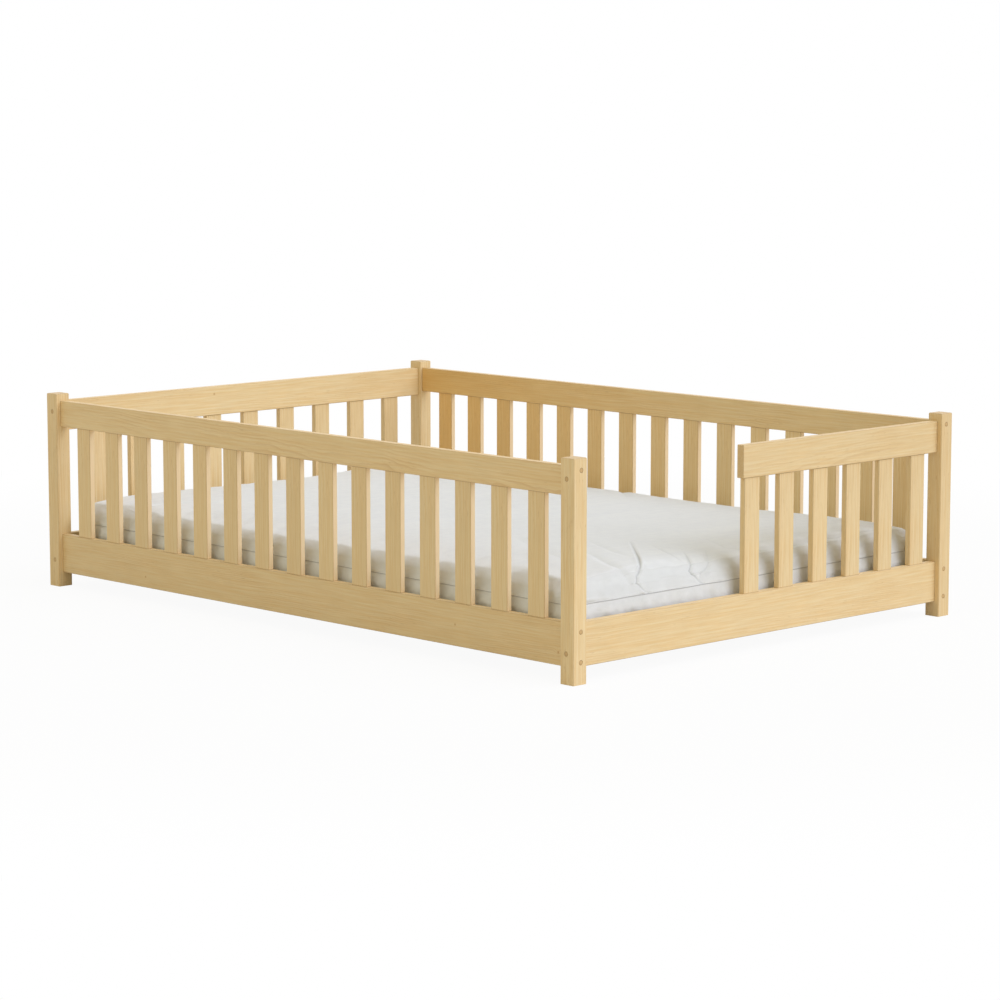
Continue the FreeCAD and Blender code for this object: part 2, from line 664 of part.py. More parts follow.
def make_strap(label, side):
    """Webbing that lies on the base slats and keeps them apart."""
    body = new_body(label)
    sketch = new_sketch(body, "YZ_Plane")
    draw_rectangle(sketch, "Sizes.strap_width", "Sizes.strap_thick", up="Sizes.strap_thick / 2")
    length = f"{SIDE_RAIL_LENGTH} - 2 * Sizes.base_slat_margin"
    add_pad(body, sketch, length, centred=True)
    place(body, along=f"{side} * Sizes.strap_spacing / 2", up=BASE_SLAT_TOP)


# ------------------------------------------------------------------------ fasteners

HEXAGON = 6


def round_bar(sides, diameter, start, end):
    """A bar along Z whose section is a regular polygon with its corners on the diameter."""
    circle = Part.Circle(Vector(0, 0, start), Vector(0, 0, 1), diameter / 2)
    corners = [circle.value(math.radians(360 * corner / sides)) for corner in range(sides)]
    return Part.Face(Part.makePolygon(corners + corners[:1])).extrude(Vector(0, 0, end - start))


def hex_screw(head, head_start, steps):
    """A hexagon-head screw along Z.

    The head is (diameter, height) and the steps are (shank diameter, end of that stretch).
    """
    screw = round_bar(HEXAGON, head[0], head_start, head_start + head[1])
    start = head_start + head[1]
    for diameter, end in steps:
        screw = screw.fuse(round_bar(whole("Sizes.screw_sides"), diameter, start, end))
        start = end
    return screw


def post_joints(for_end_rails):
    """Yields (outer point at Z 0, direction into the post, end, side) for each post."""
    half_length, half_width = number("Sizes.bed_length") / 2, number("Sizes.bed_width") / 2
    inset = number(RAIL_CENTRE)
    for end in (-1, 1):
        for side in (-1, 1):
            if for_end_rails:
                start = Vector(end * (half_length - inset), side * half_width, 0)
                inward = Vector(0, -side, 0)
            else:
                start = Vector(end * half_length, side * (half_width - inset), 0)
                inward = Vector(-end, 0, 0)
            yield start, inward, end, side


def joint_places(with_blind_hole=False):
    """Placements whose +Z points into the post, at each screw or plug."""
    places = []
    for start, inward, _, _ in post_joints(for_end_rails=False):
        places += [facing(start, inward, height) for height in [SIDE_TOP_SCREW] + SIDE_LOW_SCREWS]
    for start, inward, end, side in post_joints(for_end_rails=True):
        places.append(facing(start, inward, END_LOW_SCREW))
        if with_blind_hole or has_end_top_rail(end, side):
            places.append(facing(start, inward, END_TOP_SCREW))
    return places


def facing(start, inward, height):
    """A placement at a height above the start, its +Z turned to face inward."""
    turn = Rotation(Vector(0, 0, 1), inward)
    return Placement(start + Vector(0, 0, number(height)), turn)


def make_post_screws():
    """The screws through the posts into the rails' ends, heads under the plugs."""
    head = (number("Sizes.screw_head_diameter"), number("Sizes.screw_head_height"))
    joint = number("Sizes.post_side")
    tip = joint + number("Sizes.screw_grip")
    shoulder = joint - number("Sizes.rail_tenon_length") - number("Sizes.glue_space")
    steps = [(number("Sizes.screw_shank_diameter"), shoulder)]
    steps.append((number("Sizes.screw_core_diameter"), tip))
    screw = hex_screw(head, number("Sizes.plug_length"), steps)
    add_group("post_screws", screw, joint_places())


def make_cover_plugs():
    """The wood plugs that cover the screws, flush with the posts."""
    diameter, length = number("Sizes.plug_diameter"), number("Sizes.plug_length")
    plug = round_bar(whole("Sizes.plug_sides"), diameter, 0, length)
    add_group("cover_plugs", plug, joint_places(with_blind_hole=True))


def make_support_screws():
    """The screws that hold the ledgers and the beam's notched blocks to the low rails."""
    head = (number("Sizes.support_head_diameter"), number("Sizes.support_head_height"))
    steps = [(number("Sizes.support_screw_diameter"), number("Sizes.support_screw_length"))]
    screw = hex_screw(head, -head[1], steps)
    places = []
    ledger_face = number(f"Sizes.bed_width / 2 - {RAIL_INNER} - Sizes.ledger_width")
    for side in (-1, 1):
        for spot in range(whole("Sizes.support_screw_count")):
            across = number(SUPPORT_FIRST) + spot * number(SUPPORT_PITCH)
            start = Vector(across, side * ledger_face, 0)
            places.append(facing(start, Vector(0, side, 0), LEDGER_SCREW_Z))
    rest_face = number(f"Sizes.bed_length / 2 - {RAIL_INNER} - Sizes.beam_rest_thick")
    rest_screw = number(REST_SCREW_X)
    for end in (-1, 1):
        for way in (-1, 1):
            start = Vector(end * rest_face, way * rest_screw, 0)
            level = f"{BEAM_BOTTOM} + Sizes.beam_height / 2"
            places.append(facing(start, Vector(end, 0, 0), level))
    add_group("support_screws", screw, places)


# ------------------------------------------------------------------------- mattress


def draw_rounded_plan(sketch, inset):
    """The mattress's plan at one level: a rectangle with round corners, drawn in by inset."""
    gap = f"({RAIL_INNER} + Sizes.mattress_gap + {inset})"
    half_length = f"(Sizes.bed_length / 2 - {gap})"
    half_width = f"(Sizes.bed_width / 2 - {gap})"
    arcs = []
    for quarter, way_x, way_y in ((0, 1, 1), (1, -1, 1), (2, -1, -1), (3, 1, -1)):
        across = f"{way_x} * ({half_length} - Sizes.mattress_corner)"
        along = f"{way_y} * ({half_width} - Sizes.mattress_corner)"
        centre = Vector(number(across), number(along), 0)
        circle = Part.Circle(centre, Vector(0, 0, 1), number("Sizes.mattress_corner"))
        start, end = math.radians(90 * quarter), math.radians(90 * quarter + 90)
        arc = sketch.addGeometry(Part.ArcOfCircle(circle, start, end))
        drive(sketch, "DistanceX", (-1, 1, arc, 3), across)
        drive(sketch, "DistanceY", (-1, 1, arc, 3), along)
        drive(sketch, "Radius", (arc,), "Sizes.mattress_corner")
        arcs.append(arc)
    for arc, following in zip(arcs, arcs[1:] + arcs[:1]):
        start, end = sketch.getPoint(arc, 2), sketch.getPoint(following, 1)
        line = sketch.addGeometry(Part.LineSegment(start, end))
        sketch.addConstraint(Sketcher.Constraint("Tangent", arc, 2, line, 1))
        sketch.addConstraint(Sketcher.Constraint("Tangent", line, 2, following, 1))


def mattress_levels():
    """The mattress's outline in (height, inset) pairs, from its underside to its crown."""
    under, over = "Sizes.mattress_under_round", "Sizes.mattress_top_round"
    levels = []
    for angle in (0, 45, 90):
        levels.append((f"{under} * (1 - cos({angle}deg))", f"{under} * (1 - sin({angle}deg))"))
    seam = "Sizes.mattress_seam_height"
    for way, share in ((-1, 0), (0, 1), (1, 0)):
        height = f"{seam} + {way} * Sizes.mattress_seam_reach"
        levels.append((height, f"{share} * Sizes.mattress_seam_depth"))
    shoulder = f"(Sizes.mattress_edge_height - {over})"
    for angle in (0, 40, 75):
        levels.append((f"{shoulder} + {over} * sin({angle}deg)", f"{over} * (1 - cos({angle}deg))"))
    rim = f"({over} * (1 - cos(75deg)))"
    for angle in (25, 90):
        rise = f"Sizes.mattress_edge_height + Sizes.mattress_crown * sin({angle}deg)"
        reach = f"(1 - cos({angle}deg))"
        levels.append((rise, f"({rim} + {reach} * (Sizes.mattress_crown_reach - {rim}))"))
    return levels


def make_mattress():
    """A crowned mattress whose border is drawn in along a seam."""
    body = new_body("mattress")
    sketches = []
    for height, inset in mattress_levels():
        sketch = new_sketch(body, "XY_Plane", height)
        draw_rounded_plan(sketch, inset)
        sketches.append(sketch)
    doc.recompute()
    loft = body.newObject("PartDesign::AdditiveLoft", "mattress_loft")
    loft.Profile = sketches[0]
    loft.Sections = sketches[1:]
    loft.Ruled = True
    place(body, up=MATTRESS_BOTTOM)


# ------------------------------------------------------------------------- assembly

make_post("post_head_right", -1, -1)
make_post("post_head_left", -1, 1)
make_post("post_foot_right", 1, -1)
make_post("post_foot_left", 1, 1)

make_side_rails("right", -1, 0)
make_side_rails("left", 1, 180)

make_end_low_rail("head", -1, -90, HEAD_FIRST, HEAD_SLAT_PITCH, "Sizes.head_slat_count")
make_end_top_rail(
    "head_top_rail", -1, -90, END_RAIL_LENGTH, "0", HEAD_FIRST, HEAD_SLAT_PITCH,
    "Sizes.head_slat_count", is_gate=False,
)

make_end_low_rail(
    "foot", 1, 90, f"({GATE_CENTRE_Y} + {GATE_FIRST})", GATE_SLAT_PITCH, "Sizes.gate_slat_count"
)
make_end_top_rail(
    "gate_top_rail", 1, 90, "Sizes.gate_length", GATE_CENTRE_Y, GATE_FIRST, GATE_SLAT_PITCH,
    "Sizes.gate_slat_count", is_gate=True,
)

make_right_slats()
make_left_slats()
make_head_slats()
make_gate_slats()

make_ledger("right_ledger", -1, 0)
make_ledger("left_ledger", 1, 180)
make_centre_beam()
make_beam_rest("head_beam_rest", -1, -90)
make_beam_rest("foot_beam_rest", 1, 90)
make_centre_leg("head_centre_leg", -1)
make_centre_leg("foot_centre_leg", 1)
make_base_slats()
make_strap("right_base_strap", -1)
make_strap("left_base_strap", 1)

make_post_screws()
make_cover_plugs()
make_support_screws()

make_mattress()

doc.recompute()
for item in doc.Objects:
    if "Invalid" in item.State or "Error" in item.State:
        raise ValueError(f"{item.Label} failed to compute")
os.makedirs("parts", exist_ok=True)
for piece in pieces:
    if piece.Shape.isNull() or not piece.Shape.isValid():
        raise ValueError(f"{piece.Label} has no valid shape")
    piece.Shape.exportStep(f"parts/{piece.Label}.step")
print(f"{len(pieces)} nodes")
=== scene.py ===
import math

import bmesh
import bpy
import numpy as np
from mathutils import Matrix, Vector, noise
from mathutils.bvhtree import BVHTree


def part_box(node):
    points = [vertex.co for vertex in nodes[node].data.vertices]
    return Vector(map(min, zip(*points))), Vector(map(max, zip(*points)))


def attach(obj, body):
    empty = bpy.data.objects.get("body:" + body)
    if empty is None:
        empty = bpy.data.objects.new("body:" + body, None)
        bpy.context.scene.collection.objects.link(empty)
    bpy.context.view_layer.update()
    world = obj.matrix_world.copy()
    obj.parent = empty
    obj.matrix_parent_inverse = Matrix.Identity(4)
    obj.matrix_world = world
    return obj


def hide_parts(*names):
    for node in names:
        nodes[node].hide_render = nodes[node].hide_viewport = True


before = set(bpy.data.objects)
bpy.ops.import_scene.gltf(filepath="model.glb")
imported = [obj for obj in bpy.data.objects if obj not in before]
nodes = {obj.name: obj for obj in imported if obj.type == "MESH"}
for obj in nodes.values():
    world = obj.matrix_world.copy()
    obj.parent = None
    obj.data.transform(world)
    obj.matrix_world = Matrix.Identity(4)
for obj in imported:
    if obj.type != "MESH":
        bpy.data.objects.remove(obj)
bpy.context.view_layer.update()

# A toddler floor bed in clear-sealed pine. The CAD boards keep their shapes and get their
# materials here; the screw plugs and the mattress are modelled here. Metres throughout.


# ------------ shared helpers


class Graph:
    """Adds nodes to a material or world, so that a shader reads as formulas."""

    def __init__(self, tree):
        self.tree = tree
        tree.nodes.clear()

    def node(self, kind, inputs=None, **settings):
        """A node with its settings, and with values or other nodes' outputs as inputs."""
        made = self.tree.nodes.new(kind)
        for name, value in settings.items():
            setattr(made, name, value)
        for name, value in (inputs or {}).items():
            if isinstance(value, bpy.types.NodeSocket):
                self.tree.links.new(value, made.inputs[name])
            else:
                made.inputs[name].default_value = value
        return made

    def math(self, operation, *values):
        """The result of a Math node."""
        return self.node("ShaderNodeMath", dict(enumerate(values)), operation=operation).outputs[0]

    def add(self, first, *others):
        """The sum of values."""
        for other in others:
            first = self.math("ADD", first, other)
        return first

    def minus(self, first, second):
        """The first value less the second."""
        return self.math("SUBTRACT", first, second)

    def times(self, first, *others):
        """The product of values."""
        for other in others:
            first = self.math("MULTIPLY", first, other)
        return first

    def most(self, first, *others):
        """The largest of values."""
        for other in others:
            first = self.math("MAXIMUM", first, other)
        return first

    def within(self, share, low, high):
        """The value a share of the way from low to high."""
        return self.add(self.times(share, high - low), low)

    def wave(self, value, pitch):
        """A sine wave from -1 to 1 that repeats once in each pitch."""
        return self.math("SINE", self.times(value, 2 * math.pi / pitch))

    def vector(self, operation, *values):
        """The vector that a Vector Math node gives."""
        made = self.node("ShaderNodeVectorMath", dict(enumerate(values)), operation=operation)
        return made.outputs[0]

    def length(self, vector):
        """A vector's length."""
        return self.node("ShaderNodeVectorMath", {0: vector}, operation="LENGTH").outputs["Value"]

    def split(self, vector):
        """A vector's three parts."""
        return self.node("ShaderNodeSeparateXYZ", {0: vector}).outputs

    def join(self, x, y, z):
        """A vector from three parts."""
        return self.node("ShaderNodeCombineXYZ", {0: x, 1: y, 2: z}).outputs[0]

    def place(self):
        """The shaded point's place on its object."""
        return self.node("ShaderNodeTexCoord").outputs["Object"]

    def normal(self):
        """The three parts of the surface's normal."""
        return self.split(self.node("ShaderNodeTexCoord").outputs["Normal"])

    def attribute(self, name):
        """A value that the mesh keeps at its vertices."""
        return self.node("ShaderNodeAttribute", attribute_name=name).outputs["Fac"]

    def noise(self, vector, scale=1.0, detail=2.0, roughness=0.5):
        """Noise from 0 to 1."""
        inputs = {"Vector": vector, "Scale": scale, "Detail": detail, "Roughness": roughness}
        return self.node("ShaderNodeTexNoise", inputs).outputs["Fac"]

    def ramp(self, value, low, high, to_low=0.0, to_high=1.0):
        """Smooth step of the value from low..high to to_low..to_high."""
        inputs = {"Value": value, "From Min": low, "From Max": high}
        inputs.update({"To Min": to_low, "To Max": to_high})
        made = self.node("ShaderNodeMapRange", inputs, interpolation_type="SMOOTHSTEP")
        return made.outputs["Result"]

    def mix(self, share, first, second, blend="MIX"):
        """Two colours mixed by a share of the second."""
        made = self.node("ShaderNodeMix", data_type="RGBA", blend_type=blend)
        for place, value in ((0, share), (6, first), (7, second)):
            if isinstance(value, bpy.types.NodeSocket):
                self.tree.links.new(value, made.inputs[place])
            else:
                made.inputs[place].default_value = value
        return made.outputs[2]


def new_material(name):
    """An empty material and its graph."""
    material = bpy.data.materials.new(name)
    material.use_nodes = True
    return material, Graph(material.node_tree)


def finish_material(graph, inputs, height, depth):
    """Closes a material with a Principled shader bumped by a height."""
    bump = graph.node("ShaderNodeBump", {"Height": height, "Strength": 1.0, "Distance": depth})
    shader = graph.node("ShaderNodeBsdfPrincipled", inputs)
    graph.tree.links.new(bump.outputs[0], shader.inputs["Normal"])
    graph.node("ShaderNodeOutputMaterial", {"Surface": shader.outputs[0]})


def colour(red, green, blue):
    """A colour given as it looks on a screen, 0 to 255, as a shader takes it."""
    def linear(level):
        share = level / 255
        return share / 12.92 if share <= 0.04045 else ((share + 0.055) / 1.055) ** 2.4
    return (linear(red), linear(green), linear(blue), 1.0)


def add_object(name, data):
    """A new object of the scene."""
    made = bpy.data.objects.new(name, data)
    bpy.context.scene.collection.objects.link(made)
    return made


def low_of(node, axis):
    """A CAD node's lowest coordinate along an axis."""
    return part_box(node)[0]["XYZ".index(axis)]


def high_of(node, axis):
    """A CAD node's highest coordinate along an axis."""
    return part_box(node)[1]["XYZ".index(axis)]


def middle_of(node):
    """The middle of a CAD node's box."""
    low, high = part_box(node)
    return (low + high) / 2


def slat_pitch(first, second, axis):
    """Spacing of two neighbouring CAD slats."""
    return abs((middle_of(second) - middle_of(first))["XYZ".index(axis)])


def named(start):
    """CAD nodes whose names start so."""
    return [name for name in nodes if name.startswith(start)]


def paint(names, material):
    """Gives CAD nodes a material in all their slots."""
    for name in names:
        mesh = nodes[name].data
        mesh.materials.clear()
        mesh.materials.append(material)


# ------------ pine

PALE_WOOD = colour(233, 210, 162)
WARM_WOOD = colour(224, 191, 134)
LATE_WOOD = colour(202, 160, 105)
FLECK = colour(168, 122, 72)
KNOT_RING = colour(206, 167, 113)
KNOT_HEART = colour(182, 138, 88)
END_GRAIN = colour(192, 157, 108)
# Painted highlight: the paler colour of the slats' edge faces.
PAINTED_EDGE_HIGHLIGHT = colour(246, 221, 180)
# Painted warm bounce light on the left side's inner faces.
PAINTED_BOUNCE_TINT = colour(252, 235, 202)
JOINT_SHADE = colour(142, 106, 62)
# Each tone's share where it is strongest.
WARM_BOARD_SHARE = 0.22
FLECK_SHARE = 0.45
END_GRAIN_SHARE = 0.40
EDGE_HIGHLIGHT_SHARE = 0.60
EASED_EDGE_SHARE = 0.30
JOINT_SHARE = 0.75

# Noise drawn out along the grain: its stretch along the board, scale, detail and roughness.
GRAIN_NOISES = {
    "fibre": (0.035, 1300.0, 3.0, 0.6),
    "streak": (0.035, 210.0, 3.0, 0.55),
    "patch": (0.22, 16.0, 2.0, 0.5),
    "cloud": (0.5, 26.0, 2.0, 0.5),
    "fleck": (0.09, 460.0, 2.0, 0.5),
}
# Levels of a noise between which something sets in: streaks, flecks, and the patches of a board
# in which flecks and rings show.
STREAK_LEVELS = (0.2, 0.8)
FLECK_LEVELS = (0.64, 0.76)
FLECK_PATCHES = (0.42, 0.66)
RING_PATCHES = (0.38, 0.74)
RING_STRENGTH = (0.06, 0.46)

# The least and the most over all boards: rings in a metre, and how far the log's heart lies
# from the board's middle, across the board and through it.
RINGS_PER_METRE = (190.0, 280.0)
HEART_ACROSS = (0.045, 0.135)
HEART_THROUGH = (0.05, 0.11)
LOG_TAPER = 0.05
# How far the rings wander, and how quickly along and across the board.
RING_SWAY = 0.020
SWAY_PACE = (1.5, 2.0)
SWAY_SCALE = 3.0
# How unevenly the rings follow each other, in rings, and how quickly that changes.
RING_UNEVENNESS = 1.4
UNEVENNESS_PACE = 0.6
# Shares of a ring between which its late wood sets in and stops.
LATE_WOOD_START = (0.50, 0.92)
LATE_WOOD_STOP = (1.0, 0.94)

# A knot's parts in knot radii: how far round it the rings bend and by how much, and where its
# ring and its heart fade out. Distance through the board counts less, so that it runs through.
KNOT_BEND_REACH = 6
KNOT_BEND = 1.8
KNOT_RING_FADE = (1.5, 0.7)
KNOT_HEART_FADE = (0.8, 0.0)
KNOT_SQUEEZE = 0.15

# Lightness of the wood: the least, and what fibres, boards and clouds add to it at most.
LEAST_LIGHT = 0.85
FIBRE_LIGHT = 0.16
BOARD_LIGHT = 0.05
CLOUD_LIGHT = 0.09
RAW_LIGHT_LOSS = 0.05

# Shares of the normal along an axis between which a face counts as an end or as an edge face with
# a painted highlight, and the largest share on a rounded edge.
END_FACING = (0.80, 0.95)
EDGE_HIGHLIGHT_FACING = (0.85, 0.97)
EASED_EDGE_FACING = (0.92, 0.76)
JOINT_LINE = 0.0016
# Where the wood gets painted warm bounce light: from which y on, on faces turned how far to -Y, and
# deepening along x.
PAINTED_BOUNCE_FROM = (0.5, 0.6)
PAINTED_BOUNCE_FACING = (-0.3, -0.8)
PAINTED_BOUNCE_DEEPENS = (0.45, -1.05)

# Roughness of sealed wood, what a raw board and its fibres add, and what late wood takes off.
WOOD_ROUGHNESS = 0.40
RAW_ROUGHNESS = 0.2
FIBRE_ROUGHNESS = 0.16
LATE_WOOD_GLOSS = 0.06
WOOD_SPECULAR = 0.35
LATE_WOOD_RELIEF = 0.5
WOOD_RELIEF = 0.00012

# The space is cut in cells that hold one board each: a cell's size along an axis and where one
# of them starts.
WHOLE = (4.0, -2.0)
side_y = middle_of("left_top_rail").y
end_x = middle_of("gate_top_rail").x
rail_low_z = middle_of("left_low_rail").z
rail_pitch = middle_of("left_top_rail").z - rail_low_z
SIDES = (2 * side_y, -2 * side_y)
ENDS = (2 * end_x, -2 * end_x)
LEVELS = (rail_pitch, rail_low_z - rail_pitch / 2)
BASE_SLATS = (0.1367, -0.1367)
BEARERS = (0.66, -0.99)
CENTRE_LEGS = (0.66, -0.66)
# How far a rail's tenons reach into the posts.
RAIL_TENON = 0.012


def board_place(graph, grain, cells, seed):
    """Where a shaded point lies along, across and through its board, from the board's middle.

    grain names the axes along, across and through the board. Every board also gets its own
    random numbers.
    """
    numbered, local = [], {}
    for axis, level in zip("XYZ", graph.split(graph.place())):
        size, start = cells.get(axis, WHOLE)
        whole = graph.math("FLOOR", graph.math("DIVIDE", graph.minus(level, start), size))
        middle = graph.add(graph.times(graph.add(whole, 0.5), size), start)
        numbered.append(graph.add(whole, seed))
        local[axis] = graph.minus(level, middle)
    randoms = graph.node(
        "ShaderNodeTexWhiteNoise", {"Vector": graph.join(*numbered)}, noise_dimensions="3D"
    )
    return [local[axis] for axis in grain], graph.split(randoms.outputs["Color"])


def knot_fields(graph, through_axis, knots):
    """How far the rings bend round knots, and the shares of the knots' rings and hearts."""
    squeeze = [KNOT_SQUEEZE if axis == through_axis else 1.0 for axis in "XYZ"]
    place = graph.place()
    bend, ring, heart = 0.0, 0.0, 0.0
    for centre, radius in knots:
        far = graph.length(graph.vector("MULTIPLY", graph.vector("SUBTRACT", place, centre), squeeze))
        near = graph.ramp(far, radius * KNOT_BEND_REACH, 0.0)
        bend = graph.add(bend, graph.times(near, radius * KNOT_BEND))
        ring = graph.most(ring, graph.ramp(far, *(radius * share for share in KNOT_RING_FADE)))
        heart = graph.most(heart, graph.ramp(far, *(radius * share for share in KNOT_HEART_FADE)))
    return bend, ring, heart


def growth_rings(graph, board, randoms, seed, sway, bend):
    """The share of late wood, in rings round the heart of the log that the board came from."""
    along, across, through = board
    wander = graph.join(graph.times(along, SWAY_PACE[0]), graph.times(across, SWAY_PACE[1]), seed)
    wander = graph.times(graph.minus(graph.noise(wander, SWAY_SCALE, 3.0), 0.5), sway)
    out_across = graph.add(across, graph.within(randoms[0], *HEART_ACROSS))
    out_through = graph.add(through, graph.within(randoms[1], *HEART_THROUGH))
    taper = graph.times(along, graph.times(graph.minus(randoms[2], 0.5), LOG_TAPER))
    radius = graph.add(graph.length(graph.join(out_across, out_through, 0.0)), taper, wander, bend)
    rings = graph.times(radius, graph.within(randoms[0], *RINGS_PER_METRE))
    uneven = graph.noise(graph.join(graph.times(rings, UNEVENNESS_PACE), seed, 0.0), 1.0, 1.0)
    phase = graph.math("FRACT", graph.add(rings, graph.times(uneven, RING_UNEVENNESS)))
    return graph.times(graph.ramp(phase, *LATE_WOOD_START), graph.ramp(phase, *LATE_WOOD_STOP))


def wood_tone(graph, noises, randoms, late, figure, raw):
    """The colour of plain wood: streaks, rings, flecks and uneven lightness."""
    least, strongest = (share * figure for share in RING_STRENGTH)
    strength = graph.ramp(noises["patch"], *RING_PATCHES, least, strongest)
    flecked = graph.ramp(noises["patch"], *FLECK_PATCHES)
    flecks = graph.times(graph.ramp(noises["fleck"], *FLECK_LEVELS), flecked)
    tone = graph.mix(graph.ramp(noises["streak"], *STREAK_LEVELS), PALE_WOOD, WARM_WOOD)
    tone = graph.mix(graph.times(randoms[1], WARM_BOARD_SHARE), tone, WARM_WOOD)
    tone = graph.mix(graph.times(late, strength), tone, LATE_WOOD)
    tone = graph.mix(graph.times(flecks, FLECK_SHARE), tone, FLECK)
    light = graph.add(
        graph.times(noises["fibre"], FIBRE_LIGHT),
        graph.times(randoms[2], BOARD_LIGHT),
        graph.times(noises["cloud"], CLOUD_LIGHT),
        LEAST_LIGHT - RAW_LIGHT_LOSS * raw,
    )
    return graph.mix(1.0, tone, graph.join(light, light, light), "MULTIPLY")


def painted_bounce_light(graph, tone):
    """A tone warmed by painted bounce light on the left side's inner faces, more so towards the head end.
    """
    place = graph.split(graph.place())
    inner = graph.times(graph.ramp(place[1], *PAINTED_BOUNCE_FROM), graph.ramp(graph.normal()[1], *PAINTED_BOUNCE_FACING))
    return graph.mix(graph.times(inner, graph.ramp(place[0], *PAINTED_BOUNCE_DEEPENS)), tone, PAINTED_BOUNCE_TINT, "MULTIPLY")


def faced(graph, tone, grain, painted_edge_highlight):
    """A tone with darker end grain and eased edges, and where asked for with a painted highlight: edge
    faces across the grain made paler.
    """
    facing = {axis: graph.math("ABSOLUTE", part) for axis, part in zip("XYZ", graph.normal())}
    ends = graph.ramp(facing[grain[0]], *END_FACING)
    tone = graph.mix(graph.times(ends, END_GRAIN_SHARE), tone, END_GRAIN)
    if painted_edge_highlight:
        # Painted highlight: edge faces across the grain turn paler, standing in for the light they catch.
        edges = graph.ramp(facing[grain[1]], *EDGE_HIGHLIGHT_FACING)
        tone = graph.mix(graph.times(edges, EDGE_HIGHLIGHT_SHARE), tone, PAINTED_EDGE_HIGHLIGHT)
    eased = graph.ramp(graph.most(*facing.values()), *EASED_EDGE_FACING)
    return graph.mix(graph.times(eased, EASED_EDGE_SHARE), tone, JOINT_SHADE)


def jointed(graph, tone, axis, ends):
    """A tone with a thin line of glue and shade at both ends of the boards."""
    level = graph.split(graph.place())["XYZ".index(axis)]
    low, high = ends
    at_low = graph.ramp(graph.minus(level, low), JOINT_LINE, 0.0)
    at_high = graph.ramp(graph.minus(high, level), JOINT_LINE, 0.0)
    return graph.mix(graph.times(graph.most(at_low, at_high), JOINT_SHARE), tone, JOINT_SHADE)


def pine(
    name, grain, cells, seed, figure=1.0, knots=(), ends=None, raw=0.0, painted_edge_highlight=False, painted_bounce=False
):
    """Pine with growth rings, fibres, flecks and knots.

    grain names the axes along, across and through the boards. cells has the cells along the axes
    that they divide. figure is how strongly the rings show. knots are places and radii. ends are
    the coordinates where the boards meet others. raw is how dull an unsealed board is.
    painted_edge_highlight gives a slat's two edge faces a painted highlight, a paler colour. glow warms
    the left side's inner faces with painted bounce light.
    """
    material, graph = new_material(name)
    board, randoms = board_place(graph, grain, cells, seed)
    bend, ring, heart = knot_fields(graph, grain[2], knots)
    late = growth_rings(graph, board, randoms, seed, RING_SWAY * figure, bend)
    along, across, through = board
    noises = {}
    for kind, (stretch, *settings) in GRAIN_NOISES.items():
        drawn_out = graph.join(graph.times(along, stretch), across, through)
        noises[kind] = graph.noise(drawn_out, *settings)

    tone = wood_tone(graph, noises, randoms, late, figure, raw)
    # Painted warm bounce light on the left side's inner faces.
    if painted_bounce:
        tone = painted_bounce_light(graph, tone)
    tone = faced(graph, tone, grain, painted_edge_highlight)
    if knots:
        tone = graph.mix(ring, tone, KNOT_RING)
        tone = graph.mix(heart, tone, KNOT_HEART)
    if ends:
        tone = jointed(graph, tone, grain[0], ends)

    rough = graph.add(
        graph.times(noises["fibre"], FIBRE_ROUGHNESS), WOOD_ROUGHNESS + RAW_ROUGHNESS * raw
    )
    rough = graph.minus(rough, graph.times(late, LATE_WOOD_GLOSS))
    relief = graph.add(noises["fibre"], graph.times(late, LATE_WOOD_RELIEF))
    inputs = {"Base Color": tone, "Roughness": rough, "Specular IOR Level": WOOD_SPECULAR}
    finish_material(graph, inputs, relief, WOOD_RELIEF)
    return material


def shoulders(rail, axis):
    """Where a rail's two shoulders meet the posts."""
    return low_of(rail, axis) + RAIL_TENON, high_of(rail, axis) - RAIL_TENON


def paint_rails():
    """Pine on the low and the top rails."""
    side_knots = [
        ((0.975, -side_y, 0.072), 0.0034),
        ((0.615, -side_y, 0.094), 0.0030),
        ((-0.62, -side_y, 0.070), 0.0030),
        ((0.55, side_y, 0.105), 0.0050),
    ]
    paint(
        ["right_low_rail", "left_low_rail", "right_top_rail", "left_top_rail"],
        pine(
            "pine_side_rails", "XZY", {"Y": SIDES, "Z": LEVELS}, seed=3.0, knots=side_knots,
            ends=shoulders("right_low_rail", "X"), painted_bounce=True,
        ),
    )
    end_knots = [
        ((-end_x, -0.14, 0.503), 0.0034),
        ((-end_x, 0.35, 0.100), 0.0050),
    ]
    paint(
        ["head_low_rail", "foot_low_rail", "head_top_rail", "gate_top_rail"],
        pine(
            "pine_end_rails", "YZX", {"X": ENDS, "Z": LEVELS}, seed=7.0, figure=0.65,
            knots=end_knots, ends=shoulders("foot_low_rail", "Y"),
        ),
    )


def paint_slats():
    """Pine on the guard slats."""
    slat_low = high_of("left_low_rail", "Z")
    pitch = slat_pitch("right_slat_01", "right_slat_02", "X")
    paint(
        named("right_slat") + ["left_slats"],
        pine(
            "pine_side_slats", "ZXY", {"X": (pitch, -pitch / 2), "Y": SIDES}, seed=11.0,
            figure=0.6, ends=(slat_low, low_of("left_top_rail", "Z")), painted_edge_highlight=True, painted_bounce=True,
        ),
    )
    for row, seed in (("head", 13.0), ("gate", 17.0)):
        first, second = f"{row}_slat_1", f"{row}_slat_2"
        pitch = slat_pitch(first, second, "Y")
        across = (pitch, middle_of(first).y - pitch / 2)
        paint(
            named(f"{row}_slat"),
            pine(
                f"pine_{row}_slats", "ZYX", {"X": ENDS, "Y": across}, seed=seed, figure=0.5,
                ends=(slat_low, low_of("gate_top_rail", "Z")),
            ),
        )


